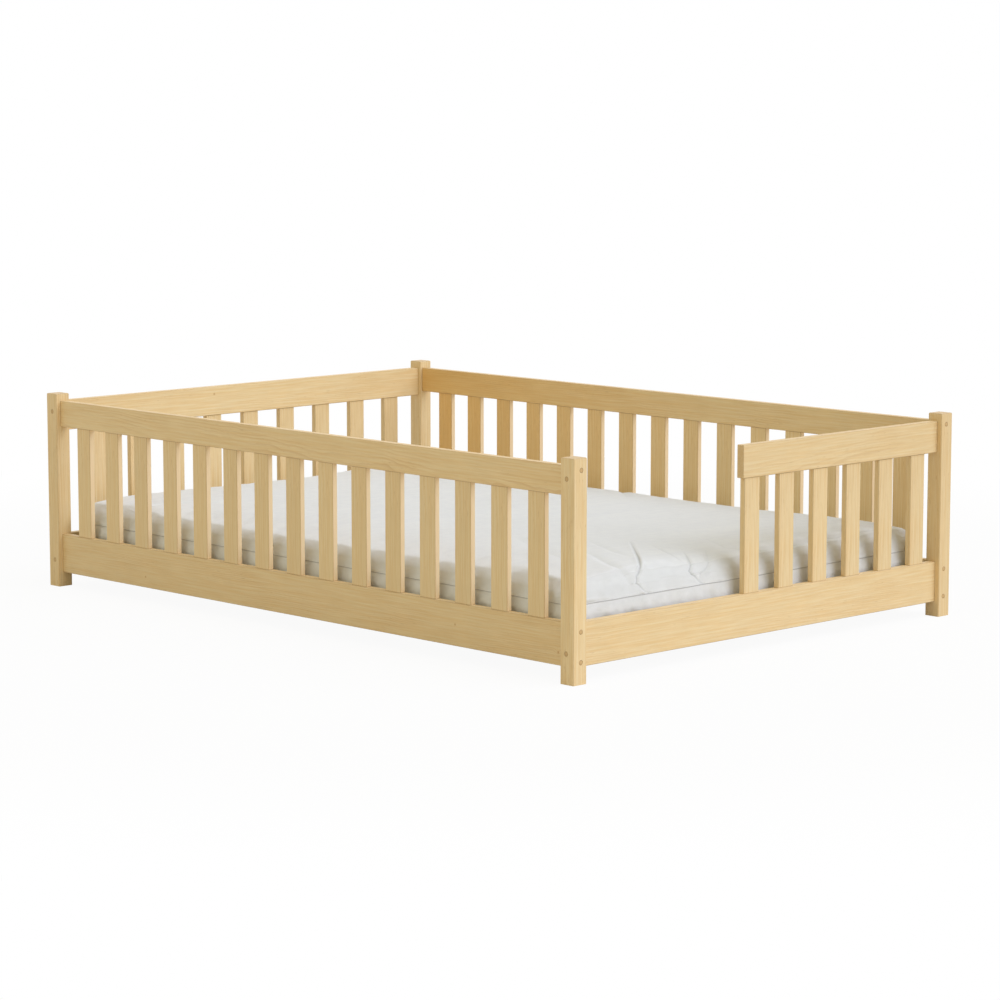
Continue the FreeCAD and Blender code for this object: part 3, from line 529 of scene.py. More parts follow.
def paint_frame():
    """Pine on every board."""
    paint_rails()
    paint_slats()
    paint(
        named("post_foot") + named("post_head"),
        pine("pine_posts", "ZYX", {"X": ENDS, "Y": SIDES}, seed=19.0, figure=0.55),
    )
    paint(["base_slats"], pine("pine_base_slats", "YZX", {"X": BASE_SLATS}, seed=23.0, raw=1.0))
    paint(
        named("right_ledger") + named("left_ledger") + ["centre_beam"],
        pine("pine_bearers", "XZY", {"Y": BEARERS}, seed=29.0, raw=1.0),
    )
    paint(
        ["head_beam_rest", "foot_beam_rest"],
        pine("pine_beam_rests", "YZX", {"X": ENDS}, seed=31.0, raw=1.0),
    )
    paint(
        ["head_centre_leg", "foot_centre_leg"],
        pine("pine_centre_legs", "ZXY", {"X": CENTRE_LEGS}, seed=37.0, raw=1.0),
    )


# ------------ screws and webbing

STEEL_DARK = colour(170, 168, 160)
STEEL_LIGHT = colour(205, 203, 196)
STEEL_ROUGHNESS = (0.28, 0.45)
SCRATCH_SCALE = 900.0
SCRATCH_LEVELS = (0.2, 0.8)
SCRATCH_RELIEF = 0.00005
TAPE_DARK = colour(196, 193, 184)
TAPE_LIGHT = colour(224, 221, 213)
TAPE_RIB_PITCH = 0.0016
TAPE_ROW_PITCH = 0.0022
TAPE_RELIEF = 0.0003


def steel():
    """Zinc-plated screw steel."""
    material, graph = new_material("zinc_plated_steel")
    scratch = graph.noise(graph.place(), SCRATCH_SCALE, 3.0)
    tone = graph.mix(scratch, STEEL_DARK, STEEL_LIGHT)
    rough = graph.ramp(scratch, *SCRATCH_LEVELS, *STEEL_ROUGHNESS)
    inputs = {"Base Color": tone, "Metallic": 1.0, "Roughness": rough}
    finish_material(graph, inputs, scratch, SCRATCH_RELIEF)
    return material


def webbing():
    """Woven polyester tape with a fine rib."""
    material, graph = new_material("webbing_tape")
    place = graph.split(graph.place())
    ribs = graph.wave(place[0], TAPE_RIB_PITCH)
    rows = graph.wave(place[1], TAPE_ROW_PITCH)
    weave = graph.ramp(graph.times(ribs, rows), -1.0, 1.0)
    tone = graph.mix(weave, TAPE_DARK, TAPE_LIGHT)
    inputs = {"Base Color": tone, "Roughness": 0.85, "Sheen Weight": 0.2}
    finish_material(graph, inputs, weave, TAPE_RELIEF)
    return material


# ------------ plugs

PLUG_SEGMENTS = 40
# How deep a plug's flat middle lies under the post's face, and its profile from there outwards:
# share of its radius, depth under the face.
PLUG_SUNK = 0.00005
PLUG_PROFILE = [
    (0.55, PLUG_SUNK),
    (0.84, 0.00010),
    (0.93, 0.00035),
    (1.0, 0.00090),
    (1.0, 0.00680),
]
PLUG_LIGHT = colour(212, 178, 122)
PLUG_DARK = colour(192, 154, 98)
PLUG_RIM = colour(146, 108, 62)
# Shares of a plug's radius between which it turns as dark as its rim.
PLUG_RIM_SHARES = (0.72, 0.98)
PLUG_GRAIN_SCALE = 900.0
PLUG_RELIEF = 0.0001


def islands(mesh):
    """The boxes of a mesh's separate pieces, as (lowest corner, highest corner)."""
    work = bmesh.new()
    work.from_mesh(mesh)
    bmesh.ops.remove_doubles(work, verts=work.verts, dist=1e-6)
    seen, boxes = set(), []
    for start in work.verts:
        if start in seen:
            continue
        seen.add(start)
        stack, group = [start], []
        while stack:
            vertex = stack.pop()
            group.append(vertex.co.copy())
            for edge in vertex.link_edges:
                other = edge.other_vert(vertex)
                if other not in seen:
                    seen.add(other)
                    stack.append(other)
        low = Vector(min(point[part] for point in group) for part in range(3))
        high = Vector(max(point[part] for point in group) for part in range(3))
        boxes.append((low, high))
    work.free()
    return boxes


def add_plug(work, rim, low, high):
    """One round plug in the box of a CAD plug, with its outer face to the outside."""
    middle, span = (low + high) / 2, high - low
    axis = min(range(3), key=lambda part: span[part])
    outward = math.copysign(1.0, middle[axis])
    face = high[axis] if outward > 0 else low[axis]
    side_a, side_b = (part for part in range(3) if part != axis)
    radius = max(span) / 2
    rings = []
    for share, depth in PLUG_PROFILE:
        ring = []
        for segment in range(PLUG_SEGMENTS):
            angle = 2 * math.pi * segment / PLUG_SEGMENTS
            point = middle.copy()
            point[axis] = face - outward * depth
            point[side_a] += radius * share * math.cos(angle)
            point[side_b] += radius * share * math.sin(angle)
            vertex = work.verts.new(point)
            vertex[rim] = share
            ring.append(vertex)
        rings.append(ring)
    point = middle.copy()
    point[axis] = face - outward * PLUG_SUNK
    centre = work.verts.new(point)
    for segment in range(PLUG_SEGMENTS):
        following = (segment + 1) % PLUG_SEGMENTS
        work.faces.new((centre, rings[0][segment], rings[0][following]))
        for inner, outer in zip(rings, rings[1:]):
            work.faces.new((inner[segment], outer[segment], outer[following], inner[following]))
    work.faces.new(rings[-1])


def make_plugs():
    """Round wood plugs, eased at the rim, in place of the CAD's many-sided ones."""
    work = bmesh.new()
    rim = work.verts.layers.float.new("rim")
    for low, high in islands(nodes["cover_plugs"].data):
        add_plug(work, rim, low, high)
    bmesh.ops.recalc_face_normals(work, faces=work.faces)
    mesh = bpy.data.meshes.new("plug_caps")
    work.to_mesh(mesh)
    work.free()
    plugs = add_object("plug_caps", mesh)
    for polygon in mesh.polygons:
        polygon.use_smooth = len(polygon.vertices) < PLUG_SEGMENTS
    mesh.materials.append(plug_wood())
    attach(plugs, "bed_frame")
    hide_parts("cover_plugs")


def plug_wood():
    """End-grain plug, darker towards its rim where glue and finish gather."""
    material, graph = new_material("plug_end_grain")
    grain = graph.noise(graph.place(), PLUG_GRAIN_SCALE, 3.0)
    tone = graph.mix(grain, PLUG_LIGHT, PLUG_DARK)
    tone = graph.mix(graph.ramp(graph.attribute("rim"), *PLUG_RIM_SHARES), tone, PLUG_RIM)
    finish_material(graph, {"Base Color": tone, "Roughness": 0.5}, grain, PLUG_RELIEF)
    return material


# ------------ mattress

MATTRESS_VOXEL = 0.012
MATTRESS_START_INSET = 0.007
MATTRESS_CORNER = 0.048
SEAM_HEIGHT = 0.074
EDGE_HEIGHT = 0.129
SHOULDER_IN = 0.042
SHOULDER_DOWN = 0.036
UNDER_ROUND = 0.018
SEAM_DRAWN_IN = 0.005
SEAM_BAND = 0.010
# Steps in a rounded corner of the plan, in the lower edge and in the shoulder, and the longest
# straight piece of the plan.
CORNER_STEPS = 8
UNDER_STEPS = 4
SHOULDER_STEPS = 8
PLAN_STEP = 0.05

CLOTH_FRAMES = 20
CLOTH_PRESSURE = 4.0
CLOTH_GROWTH = -0.025
CLOTH_STIFFNESS = 12.0
CLOTH_SHEAR = 6.0
CLOTH_BENDING = 0.8
# The farthest that the cloth may move.
CLOTH_CAP = 0.008
# What the cloth is held by: this much of a voxel round the seam, and of the lower edge's round.
HELD_SEAM = 0.75
HELD_UNDER = 0.8

# Creases in the cover: points along each, depth, half width.
CREASES = [
    ([(0.70, -0.165, 0.243), (0.79, -0.245, 0.242), (0.873, -0.318, 0.241),
      (0.94, -0.381, 0.238), (0.975, -0.422, 0.234), (1.0, -0.434, 0.218),
      (1.0, -0.412, 0.195), (1.0, -0.398, 0.185)], 0.0036, 0.0036),
    ([(0.886, -0.164, 0.240), (0.960, -0.217, 0.237), (0.985, -0.238, 0.230),
      (1.0, -0.234, 0.218), (1.0, -0.198, 0.190)], 0.0030, 0.0036),
    ([(0.89, -0.088, 0.241), (0.975, -0.165, 0.235), (1.0, -0.196, 0.218),
      (1.0, -0.208, 0.196)], 0.0028, 0.0075),
    ([(0.758, -0.153, 0.242), (0.822, -0.184, 0.242), (0.87, -0.205, 0.241),
      (0.938, -0.228, 0.238)], 0.0016, 0.0048),
    ([(0.70, -0.35, 0.242), (0.80, -0.395, 0.241), (0.89, -0.437, 0.239),
      (0.96, -0.455, 0.236), (0.99, -0.456, 0.226)], 0.0032, 0.0110),
    ([(0.60, -0.22, 0.243), (0.676, -0.262, 0.243), (0.772, -0.306, 0.242),
      (0.845, -0.325, 0.241)], 0.0020, 0.0100),
    ([(0.68, 0.00, 0.243), (0.78, 0.03, 0.241), (0.89, -0.015, 0.238), (0.94, 0.03, 0.233),
      (0.942, 0.25, 0.233), (0.942, 0.49, 0.233), (0.965, 0.60, 0.230)], 0.0042, 0.0130),
    ([(0.40, -0.30, 0.244), (0.62, -0.42, 0.243), (0.86, -0.50, 0.238)], 0.0020, 0.0160),
    ([(0.10, 0.45, 0.246), (-0.06, 0.60, 0.241), (-0.12, 0.66, 0.225)], 0.0040, 0.0110),
    ([(-0.55, -0.35, 0.246), (-0.70, -0.52, 0.243), (-0.76, -0.64, 0.232)], 0.0035, 0.0100),
    ([(-0.70, 0.20, 0.246), (-0.86, 0.32, 0.243), (-0.97, 0.38, 0.228)], 0.0035, 0.0100),
]
CREASE_STEP = 0.012
# How far from a crease its faces are split, once for each split.
CREASE_REFINE = (0.024, 0.013, 0.007)
# How far round a crease's line its painted shade reaches.
CREASE_SHADE_WIDTH = 0.0024
# A crease sets in softly and is strongest past its middle: the sine's start and turn, and the
# powers that shift and sharpen it.
CREASE_SINE = (0.22, math.pi * 0.80)
CREASE_SHIFT = 1.3
CREASE_SHARPEN = 0.9
# The groove's steepness, and the swelling beside it in half widths: height, place and spread.
GROOVE_POWER = 1.5
SWELLING = (0.22, 2.3, 1.3)
# Height above the seam, as a share of the side above it, from which creases are at full depth.
CREASE_FROM_SEAM = 1 / 8

CROWN = 0.0115
CROWN_REACH = 0.42
CORNER_DROP = 0.014
CORNER_DROP_REACH = 0.13
SIDE_DRAWN_IN = 0.0045
SLAT_DENT = 0.0035
# How the sides' shape fades towards the corners, as powers of the share of the way there.
DRAWN_IN_FADE = 6
SLAT_DENT_FADE = 16

# Soft waves on top and puckers round the border: height, waves in a metre along the noise's
# first two axes, and the layer of noise that they are taken from.
BROAD_WAVE = (0.0024, 3.1, 3.1, 4.0)
FINE_WAVE = (0.0008, 6.0, 17.0, 1.0)
FINE_WAVE_SHIFT = 0.5
PUCKER = (0.0034, 18.0, 9.0, 2.0)
SEAM_PUCKER = (0.0022, 48.0, 7.0, 7.0)
PUCKER_REACH = 0.045
SEAM_PUCKER_REACH = 0.030
# How near an end a place counts as on that end and not on a long side.
END_REACH = 0.02
# The groove along the seam: half height, depth, and how far from the sides it reaches.
SEAM_GROOVE = 0.0055
SEAM_GROOVE_DEPTH = 0.0018
SEAM_GROOVE_REACH = 0.03
# How far the cover may stand out over the CAD's box.
COVER_SPARE = 0.0012

SEAM_CORD_RADIUS = 0.0011
# The line from which the cord is cast on the cover: how far outside, and in what steps.
CORD_CAST = 0.02
CORD_STEP = 0.008

COVER_LIGHT = colour(237, 238, 233)
COVER_DARK = colour(230, 231, 226)
COVER_BAND = colour(220, 222, 223)
COVER_LOOP = colour(212, 214, 215)
COVER_MOTTLE = colour(222, 223, 221)
# Painted shade over the rounded top edge.
COVER_PAINTED_SHADE = colour(206, 206, 198)
# Painted shade at the bottoms of the creases.
COVER_CREASE_SHADE = colour(180, 180, 176)
# Each tone's share where it is strongest.
BAND_SHARE = 0.18
LOOP_SHARE = 0.12
MOTTLE_SHARE = 0.30
PAINTED_SHADE_SHARE = 0.55
CREASE_SHADE_SHARE = 0.60
KNIT_LOOP_PITCH = 0.0024
KNIT_ROW_PITCH = 0.0018
# How quickly the bands change along and across the bed, and the levels between which they and
# the mottle set in.
BAND_PACE = (60.0, 2.5)
BAND_LEVELS = (0.35, 0.7)
MOTTLE_LEVELS = (0.35, 0.70)
MOTTLE_SCALE = 42.0
CLOUD_SCALE = 5.0
# Upright shares of the normal between which the tilted cloth over the rounded top edge gets painted shade,
# greyer to tone down the light that it catches.
SHADED_TILT_START = (0.05, 0.40)
SHADED_TILT_STOP = (0.98, 0.84)
KNIT_RELIEF_SHARE = 0.5
COVER_RELIEF = 0.0006
CORD_LIGHT = colour(196, 195, 192)
CORD_DARK = colour(176, 175, 172)
CORD_TWIST_PITCH = 0.003
CORD_RELIEF = 0.0002


def rounded_plan(half_x, half_y, radius, step):
    """Points round a rectangle with round corners, evenly spaced along its straight sides."""
    points = []
    for way_x, way_y, turn in ((1, 1, 0), (-1, 1, 1), (-1, -1, 2), (1, -1, 3)):
        centre = Vector((way_x * (half_x - radius), way_y * (half_y - radius)))
        for part in range(CORNER_STEPS + 1):
            angle = math.pi / 2 * (turn + part / CORNER_STEPS)
            points.append(centre + radius * Vector((math.cos(angle), math.sin(angle))))
    full = []
    for start, end in zip(points, points[1:] + points[:1]):
        pieces = max(1, round((end - start).length / step))
        full += [start.lerp(end, part / pieces) for part in range(pieces)]
    return full


def mattress_profile():
    """(height above the underside, inset) pairs from the underside's edge to the top's."""
    profile = []
    for part in range(UNDER_STEPS + 1):
        angle = math.pi / 2 / UNDER_STEPS * part
        profile.append((UNDER_ROUND * (1 - math.cos(angle)), UNDER_ROUND * (1 - math.sin(angle))))
    profile.append((SEAM_HEIGHT - SEAM_BAND, 0.0))
    profile.append((SEAM_HEIGHT, SEAM_DRAWN_IN))
    profile.append((SEAM_HEIGHT + SEAM_BAND, 0.0))
    for part in range(SHOULDER_STEPS + 1):
        angle = math.pi / 2 / SHOULDER_STEPS * part
        height = EDGE_HEIGHT - SHOULDER_DOWN + SHOULDER_DOWN * math.sin(angle)
        profile.append((height, SHOULDER_IN * (1 - math.cos(angle))))
    return profile


def mattress_blank():
    """The mattress before it swells: a closed, even mesh a little inside the CAD's box."""
    low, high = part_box("mattress")
    half_x, half_y = high.x - MATTRESS_START_INSET, high.y - MATTRESS_START_INSET
    work = bmesh.new()
    rings = []
    for height, inset in mattress_profile():
        plan = rounded_plan(half_x - inset, half_y - inset, MATTRESS_CORNER - inset, PLAN_STEP)
        rings.append([work.verts.new((point.x, point.y, low.z + height)) for point in plan])
    count = len(rings[0])
    if any(len(ring) != count for ring in rings):
        raise ValueError("the mattress's rings differ")
    for lower, upper in zip(rings, rings[1:]):
        for place in range(count):
            following = (place + 1) % count
            work.faces.new((lower[place], lower[following], upper[following], upper[place]))
    work.faces.new(list(reversed(rings[0])))
    work.faces.new(rings[-1])
    mesh = bpy.data.meshes.new("mattress_cover")
    work.to_mesh(mesh)
    work.free()
    piece = add_object("mattress_cover", mesh)
    remesh = piece.modifiers.new("even", "REMESH")
    remesh.mode = "VOXEL"
    remesh.voxel_size = MATTRESS_VOXEL
    bake_modifiers(piece)
    return piece


def bake_modifiers(piece):
    """Replaces a piece's mesh with the one that its modifiers give."""
    evaluated = piece.evaluated_get(bpy.context.evaluated_depsgraph_get())
    mesh = bpy.data.meshes.new_from_object(evaluated)
    piece.modifiers.clear()
    piece.data = mesh


def vertex_vectors(mesh, kind):
    """The places (co) or normals (normal) of a mesh's vertices, as an array."""
    vectors = np.zeros(len(mesh.vertices) * 3)
    mesh.vertices.foreach_get(kind, vectors)
    return vectors.reshape(-1, 3)


def put_places(mesh, places):
    """Moves a mesh's vertices."""
    mesh.vertices.foreach_set("co", places.ravel())
    mesh.update()


def swell(piece):
    """Lets the cover swell as cloth under pressure, held at its seam and its underside."""
    start = vertex_vectors(piece.data, "co")
    height = start[:, 2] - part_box("mattress")[0].z
    on_seam = np.abs(height - SEAM_HEIGHT) < MATTRESS_VOXEL * HELD_SEAM
    held = np.flatnonzero(on_seam | (height < UNDER_ROUND * HELD_UNDER))
    group = piece.vertex_groups.new(name="held")
    group.add([int(place) for place in held], 1.0, "REPLACE")
    cloth = piece.modifiers.new("cloth", "CLOTH")
    settings = cloth.settings
    settings.vertex_group_mass = "held"
    settings.use_pressure = True
    settings.uniform_pressure_force = CLOTH_PRESSURE
    settings.shrink_min = CLOTH_GROWTH
    settings.tension_stiffness = CLOTH_STIFFNESS
    settings.compression_stiffness = CLOTH_STIFFNESS
    settings.shear_stiffness = CLOTH_SHEAR
    settings.bending_stiffness = CLOTH_BENDING
    settings.effector_weights.gravity = 0.0
    cloth.collision_settings.use_collision = False
    cloth.collision_settings.use_self_collision = False
    cloth.point_cache.frame_end = CLOTH_FRAMES
    for step in range(1, CLOTH_FRAMES + 1):
        bpy.context.scene.frame_set(step)
    bake_modifiers(piece)
    piece.vertex_groups.clear()
    moved = vertex_vectors(piece.data, "co") - start
    length = np.linalg.norm(moved, axis=1, keepdims=True)
    moved *= np.minimum(1.0, CLOTH_CAP / np.maximum(length, 1e-9))
    put_places(piece.data, start + moved)
    bpy.context.scene.frame_set(1)


def nearest_on(places, points):
    """Each place's distance to a line through points, and the share of the line passed there."""
    nearest = np.full(len(places), np.inf)
    along = np.zeros(len(places))
    spans = list(zip(points, points[1:]))
    for number, (start, end) in enumerate(spans):
        start, end = np.array(start), np.array(end)
        span = end - start
        share = np.clip(((places - start) @ span) / (span @ span), 0.0, 1.0)
        far = np.linalg.norm(places - (start + share[:, None] * span), axis=1)
        closer = far < nearest
        nearest = np.where(closer, far, nearest)
        along = np.where(closer, (number + share) / len(spans), along)
    return nearest, along


def laid_on(piece, points):
    """A crease's line, divided and laid on the cover."""
    tree = BVHTree.FromObject(piece, bpy.context.evaluated_depsgraph_get())
    laid = []
    for start, end in zip(points, points[1:]):
        start, end = Vector(start), Vector(end)
        pieces = max(1, round((end - start).length / CREASE_STEP))
        laid += [tree.find_nearest(start.lerp(end, part / pieces))[0] for part in range(pieces)]
    laid.append(tree.find_nearest(Vector(points[-1]))[0])
    return [tuple(point) for point in laid]


def refine_creases(piece, creases):
    """Splits the faces near the creases, so that the creases stay crisp."""
    for width in CREASE_REFINE:
        places = vertex_vectors(piece.data, "co")
        wanted = np.zeros(len(places), dtype=bool)
        for points, _, _ in creases:
            wanted |= nearest_on(places, points)[0] < width
        work = bmesh.new()
        work.from_mesh(piece.data)
        work.verts.ensure_lookup_table()
        edges = [edge for edge in work.edges if all(wanted[vertex.index] for vertex in edge.verts)]
        bmesh.ops.subdivide_edges(work, edges=edges, cuts=1, use_grid_fill=True)
        work.to_mesh(piece.data)
        work.free()


def crease_field(places, points, depth, half_width):
    """How far a crease moves each vertex, and how much painted shade it gives it.

    The crease is a groove with a soft swelling beside it, with painted shade at its bottom.
    """
    nearest, along = nearest_on(places, points)
    start, turn = CREASE_SINE
    fade = np.sin(along ** CREASE_SHIFT * turn + start) ** CREASE_SHARPEN
    near = nearest / half_width
    height, place, spread = SWELLING
    groove = -np.exp(-near ** GROOVE_POWER) + height * np.exp(-((near - place) / spread) ** 2)
    shade = fade * np.exp(-(nearest / CREASE_SHADE_WIDTH) ** 2) * min(1.0, depth / half_width)
    return depth * fade * groove, shade


def crown_height(reach_x, reach_y, above):
    """How far the top rises from the sides inwards and drops at its corners."""
    inward = np.clip(np.minimum(reach_x, reach_y) / CROWN_REACH, 0.0, 1.0)
    drop = CORNER_DROP * np.exp(-(np.hypot(reach_x, reach_y) / CORNER_DROP_REACH) ** 2)
    return (CROWN * np.sin(inward * math.pi / 2) - drop) * above


def wave(kind, first, second):
    """The height of one kind of wave at a place."""
    height, pace_first, pace_second, layer = kind
    return noise.noise((first * pace_first, second * pace_second, layer)) * height


def waves_and_puckers(places, high, height, reach, above):
    """How far soft waves on top, and puckers round the border, move each vertex."""
    waves = np.zeros(len(places))
    puckers = np.zeros(len(places))
    for number, (x, y, z) in enumerate(places):
        if above[number] > 0.0:
            waves[number] = wave(BROAD_WAVE, x, y) + wave(FINE_WAVE, x + FINE_WAVE_SHIFT, y)
        if reach[number] < PUCKER_REACH:
            on_side = abs(x) < high.x - END_REACH
            run = x + y if on_side else y - x
            near_seam = math.exp(-abs(height[number] - SEAM_HEIGHT) / SEAM_PUCKER_REACH)
            puckers[number] = wave(PUCKER, run, z) + wave(SEAM_PUCKER, run, z) * near_seam
    return waves * above, puckers


def side_relief(places, low, high):
    """How far the sides stand out: drawn in between the corners, and fuller between slats."""
    rise = np.clip((places[:, 2] - low.z) / UNDER_ROUND, 0.0, 1.0)
    relief = np.zeros(len(places))
    rows = (
        (1, 0, slat_pitch("right_slat_01", "right_slat_02", "X"), middle_of("right_slat_01").x),
        (0, 1, slat_pitch("gate_slat_1", "gate_slat_2", "Y"), middle_of("gate_slat_1").y),
    )
    for side, run, pitch, start in rows:
        reach = high[side] - np.abs(places[:, side])
        near = np.clip(1.0 - reach / SHOULDER_IN, 0.0, 1.0) ** 0.5
        share = np.abs(places[:, run]) / high[run]
        drawn = SIDE_DRAWN_IN * np.clip(1.0 - share ** DRAWN_IN_FADE, 0.0, 1.0)
        between = 0.5 - 0.5 * np.cos(2 * math.pi * (places[:, run] - start) / pitch)
        lobes = SLAT_DENT * (between - 1.0) * np.clip(1.0 - share ** SLAT_DENT_FADE, 0.0, 1.0)
        relief += near * rise * (lobes - drawn)
    return relief


def dress_cover(piece, creases):
    """Gives the cover its crown, waves, creases, sides, and the puckers along its seam."""
    low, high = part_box("mattress")
    mesh = piece.data
    places = vertex_vectors(mesh, "co")
    normals = vertex_vectors(mesh, "normal")
    height = places[:, 2] - low.z
    reach_x = high.x - np.abs(places[:, 0])
    reach_y = high.y - np.abs(places[:, 1])
    reach = np.minimum(reach_x, reach_y)
    above = np.clip((height - SEAM_HEIGHT) / (EDGE_HEIGHT - SEAM_HEIGHT), 0.0, 1.0)
    crown = crown_height(reach_x, reach_y, above)
    offsets, puckers = waves_and_puckers(places, high, height, reach, above)
    shaded = np.zeros(len(places))
    for points, depth, half_width in creases:
        offset, shade = crease_field(places, points, depth, half_width)
        offsets += offset * np.minimum(1.0, above / CREASE_FROM_SEAM)
        shaded = np.maximum(shaded, shade)
    # The creases' painted shade, kept at the vertices for the cover's colour.
    mesh.attributes.new("crease", "FLOAT", "POINT").data.foreach_set("value", shaded)
    seam = np.exp(-((height - SEAM_HEIGHT) / SEAM_GROOVE) ** 2) * (reach < SEAM_GROOVE_REACH)
    off_floor = np.clip(height / UNDER_ROUND, 0.0, 1.0)
    offsets += puckers * off_floor * (1 - seam) - SEAM_GROOVE_DEPTH * seam
    offsets += side_relief(places, low, high)
    places += normals * offsets[:, None]
    places[:, 2] += crown
    for part in (0, 1):
        places[:, part] = np.clip(places[:, part], low[part] - COVER_SPARE, high[part] + COVER_SPARE)
    places[:, 2] = np.maximum(places[:, 2], low.z)
    put_places(mesh, places)


def seam_path(piece):
    """Points along the finished cover at the height of its border seam."""
    low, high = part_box("mattress")
    level = low.z + SEAM_HEIGHT
    tree = BVHTree.FromObject(piece, bpy.context.evaluated_depsgraph_get())
    outside = (high.x + CORD_CAST, high.y + CORD_CAST, MATTRESS_CORNER + CORD_CAST)
    path = []
    for point in rounded_plan(*outside, CORD_STEP):
        inner = Vector((
            math.copysign(min(abs(point.x), high.x - MATTRESS_CORNER), point.x),
            math.copysign(min(abs(point.y), high.y - MATTRESS_CORNER), point.y),
        ))
        inward = (inner - point).normalized()
        origin = Vector((point.x, point.y, level))
        hit = tree.ray_cast(origin, Vector((inward.x, inward.y, 0.0)))[0]
        if hit is not None:
            path.append(hit)
    return path


def seam_cord(path):
    """The thin cord sewn into the border seam."""
    data = bpy.data.curves.new("mattress_seam", "CURVE")
    data.dimensions = "3D"
    data.bevel_depth = SEAM_CORD_RADIUS
    data.bevel_resolution = 3
    spline = data.splines.new("POLY")
    spline.points.add(len(path) - 1)
    for point, place in zip(spline.points, path):
        point.co = (*place, 1.0)
    spline.use_cyclic_u = True
    curve = add_object("mattress_seam", data)
    mesh = bpy.data.meshes.new_from_object(curve.evaluated_get(bpy.context.evaluated_depsgraph_get()))
    bpy.data.objects.remove(curve)
    return add_object("mattress_seam", mesh)


def cover_fabric():
    """Off-white knit with a fine rib, soft sheen and faint uneven tone, with painted shade over the
    rounded top edge and at the bottoms of the creases.
    """
    material, graph = new_material("mattress_knit")
    place = graph.place()
    x, y, z = graph.split(place)
    loops = graph.wave(graph.add(x, z), KNIT_LOOP_PITCH)
    rows = graph.wave(y, KNIT_ROW_PITCH)
    knit = graph.ramp(graph.times(loops, rows), -1.0, 1.0)
    banded = graph.join(graph.times(x, BAND_PACE[0]), graph.times(y, BAND_PACE[1]), z)
    bands = graph.noise(banded, 1.0, 3.0)
    tone = graph.mix(graph.noise(place, CLOUD_SCALE, 3.0), COVER_DARK, COVER_LIGHT)
    tone = graph.mix(graph.ramp(bands, *BAND_LEVELS, 0.0, BAND_SHARE), tone, COVER_BAND)
    tone = graph.mix(graph.times(knit, LOOP_SHARE), tone, COVER_LOOP)
    mottle = graph.ramp(graph.noise(place, MOTTLE_SCALE, 3.0), *MOTTLE_LEVELS, 0.0, MOTTLE_SHARE)
    tone = graph.mix(mottle, tone, COVER_MOTTLE)
    up = graph.math("ABSOLUTE", graph.normal()[2])
    # Painted shade: the tilted cloth over the rounded top edge turns greyer.
    shaded_roll = graph.times(graph.ramp(up, *SHADED_TILT_START), graph.ramp(up, *SHADED_TILT_STOP))
    tone = graph.mix(graph.times(shaded_roll, PAINTED_SHADE_SHARE), tone, COVER_PAINTED_SHADE)
    # Painted shade at the bottoms of the creases.
    tone = graph.mix(graph.times(graph.attribute("crease"), CREASE_SHADE_SHARE), tone, COVER_CREASE_SHADE)
    relief = graph.add(graph.times(knit, KNIT_RELIEF_SHARE), bands)
    inputs = {
        "Base Color": tone, "Roughness": 0.9, "Specular IOR Level": 0.15,
        "Sheen Weight": 0.15, "Sheen Roughness": 0.5,
    }
    finish_material(graph, inputs, relief, COVER_RELIEF)
    return material


def seam_thread():
    """Grey sewn cord."""
    material, graph = new_material("seam_cord")
    twist = graph.wave(graph.add(*graph.split(graph.place())), CORD_TWIST_PITCH)
    tone = graph.mix(graph.ramp(twist, -1.0, 1.0), CORD_DARK, CORD_LIGHT)
    finish_material(graph, {"Base Color": tone, "Roughness": 0.9}, twist, CORD_RELIEF)
    return material


def make_mattress():
    """The mattress's sewn cover and its seam."""
    cover = mattress_blank()
    swell(cover)
    cover.modifiers.new("smooth", "SUBSURF").levels = 1
    bake_modifiers(cover)
    creases = [(laid_on(cover, points), depth, width) for points, depth, width in CREASES]
    refine_creases(cover, creases)
    dress_cover(cover, creases)
    cord = seam_cord(seam_path(cover))
    for piece, material in ((cover, cover_fabric()), (cord, seam_thread())):
        for polygon in piece.data.polygons:
            polygon.use_smooth = True
        piece.data.materials.clear()
        piece.data.materials.append(material)
        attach(piece, "mattress_body")
    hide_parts("mattress")


# ------------ stage

PHOTO_SIDE = 1000
CAMERA_PLACE = (6.4381, -6.1878, 1.5059)
CAMERA_AZIMUTH = math.radians(45.908)
CAMERA_PITCH = math.radians(7.84)
FOCAL_PIXELS = 3287.1
SENSOR_WIDTH = 36.0
CAMERA_REACH = 200.0

FLOOR_SIDE = 120.0
# A hair below the posts' feet, so that no two faces coincide.
FLOOR_GAP = 0.0003
FLOOR_PAPER = (0.76, 0.742, 0.70, 1.0)
# How white the floor is to the camera near the bed, over the shadow that it keeps, and the
# distances from the bed's middle between which it turns plain white.
FLOOR_WHITE = 0.94
FLOOR_FADE = (1.9, 3.2)

WHITE = (1.0, 1.0, 1.0, 1.0)
AMBIENT = 0.55
AMBIENT_TINT = (1.0, 0.965, 0.815, 1.0)
# The two soft lamps: the direction they shine from, strength, tint and angular spread.
LAMPS = {
    "key": ((0.62, 0.32, 0.72), 1.82, (0.975, 1.04, 1.33), math.radians(60)),
    "fill": ((0.10, -0.76, 0.64), 0.24, (1.0, 0.92, 0.60), math.radians(70)),
}
LAMP_DISTANCE = 4


def make_camera():
    """The camera that took the photograph."""
    data = bpy.data.cameras.new("camera")
    data.sensor_width = SENSOR_WIDTH
    data.sensor_fit = "HORIZONTAL"
    data.lens = FOCAL_PIXELS * SENSOR_WIDTH / PHOTO_SIDE
    data.clip_end = CAMERA_REACH
    camera = add_object("camera", data)
    camera.location = CAMERA_PLACE
    camera.rotation_euler = (math.pi / 2 - CAMERA_PITCH, 0.0, CAMERA_AZIMUTH)
    bpy.context.scene.camera = camera


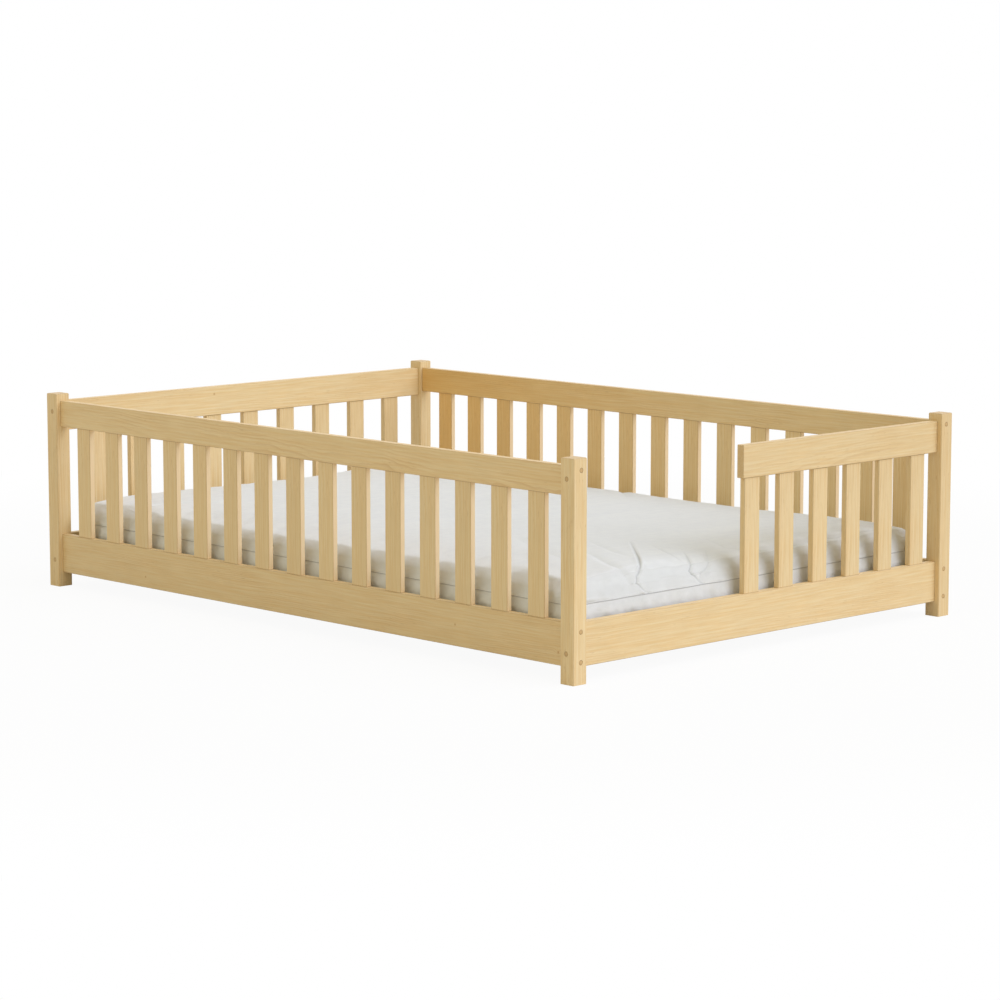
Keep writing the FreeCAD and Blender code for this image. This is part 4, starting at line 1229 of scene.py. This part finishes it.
def make_floor():
    """A plain white floor that keeps the bed's soft shadow."""
    mesh = bpy.data.meshes.new("floor")
    half = FLOOR_SIDE / 2
    corners = [(-half, -half), (half, -half), (half, half), (-half, half)]
    mesh.from_pydata([(*corner, -FLOOR_GAP) for corner in corners], [], [(0, 1, 2, 3)])
    floor = add_object("floor", mesh)
    material, graph = new_material("floor_paper")
    light_path = graph.node("ShaderNodeLightPath").outputs
    seen = graph.most(light_path["Is Camera Ray"], light_path["Is Glossy Ray"])
    far = graph.length(graph.place())
    plain = graph.times(seen, graph.ramp(far, *FLOOR_FADE, FLOOR_WHITE, 1.0))
    paper = graph.node("ShaderNodeBsdfDiffuse", {"Color": FLOOR_PAPER})
    white = graph.node("ShaderNodeEmission", {"Strength": 1.0})
    both = graph.node("ShaderNodeMixShader", {0: plain, 1: paper.outputs[0], 2: white.outputs[0]})
    graph.node("ShaderNodeOutputMaterial", {"Surface": both.outputs[0]})
    mesh.materials.append(material)


def make_world():
    """White to the camera and in reflections, a plain soft fill to the rest."""
    world = bpy.data.worlds.new("studio")
    world.use_nodes = True
    bpy.context.scene.world = world
    graph = Graph(world.node_tree)
    light_path = graph.node("ShaderNodeLightPath").outputs
    seen = graph.most(*(light_path[f"Is {kind} Ray"] for kind in ("Camera", "Glossy", "Transmission")))
    strength = graph.ramp(seen, 0.0, 1.0, AMBIENT, 1.0)
    tint = graph.mix(seen, AMBIENT_TINT, WHITE)
    light = graph.node("ShaderNodeBackground", {"Color": tint, "Strength": strength})
    graph.node("ShaderNodeOutputWorld", {"Surface": light.outputs[0]})


def light_studio():
    """A broad soft light from above the foot end and a weaker one from the right side."""
    for name, (source, strength, tint, spread) in LAMPS.items():
        data = bpy.data.lights.new(name, "SUN")
        data.energy = strength
        data.color = tint
        data.angle = spread
        lamp = add_object(name, data)
        lamp.location = Vector(source) * LAMP_DISTANCE
        lamp.rotation_euler = (-Vector(source)).to_track_quat("-Z", "Y").to_euler()


bpy.context.scene.view_settings.view_transform = "Standard"
make_camera()
make_floor()
make_world()
light_studio()

paint_frame()
paint(["post_screws", "support_screws"], steel())
paint(["right_base_strap", "left_base_strap"], webbing())
make_plugs()
make_mattress()
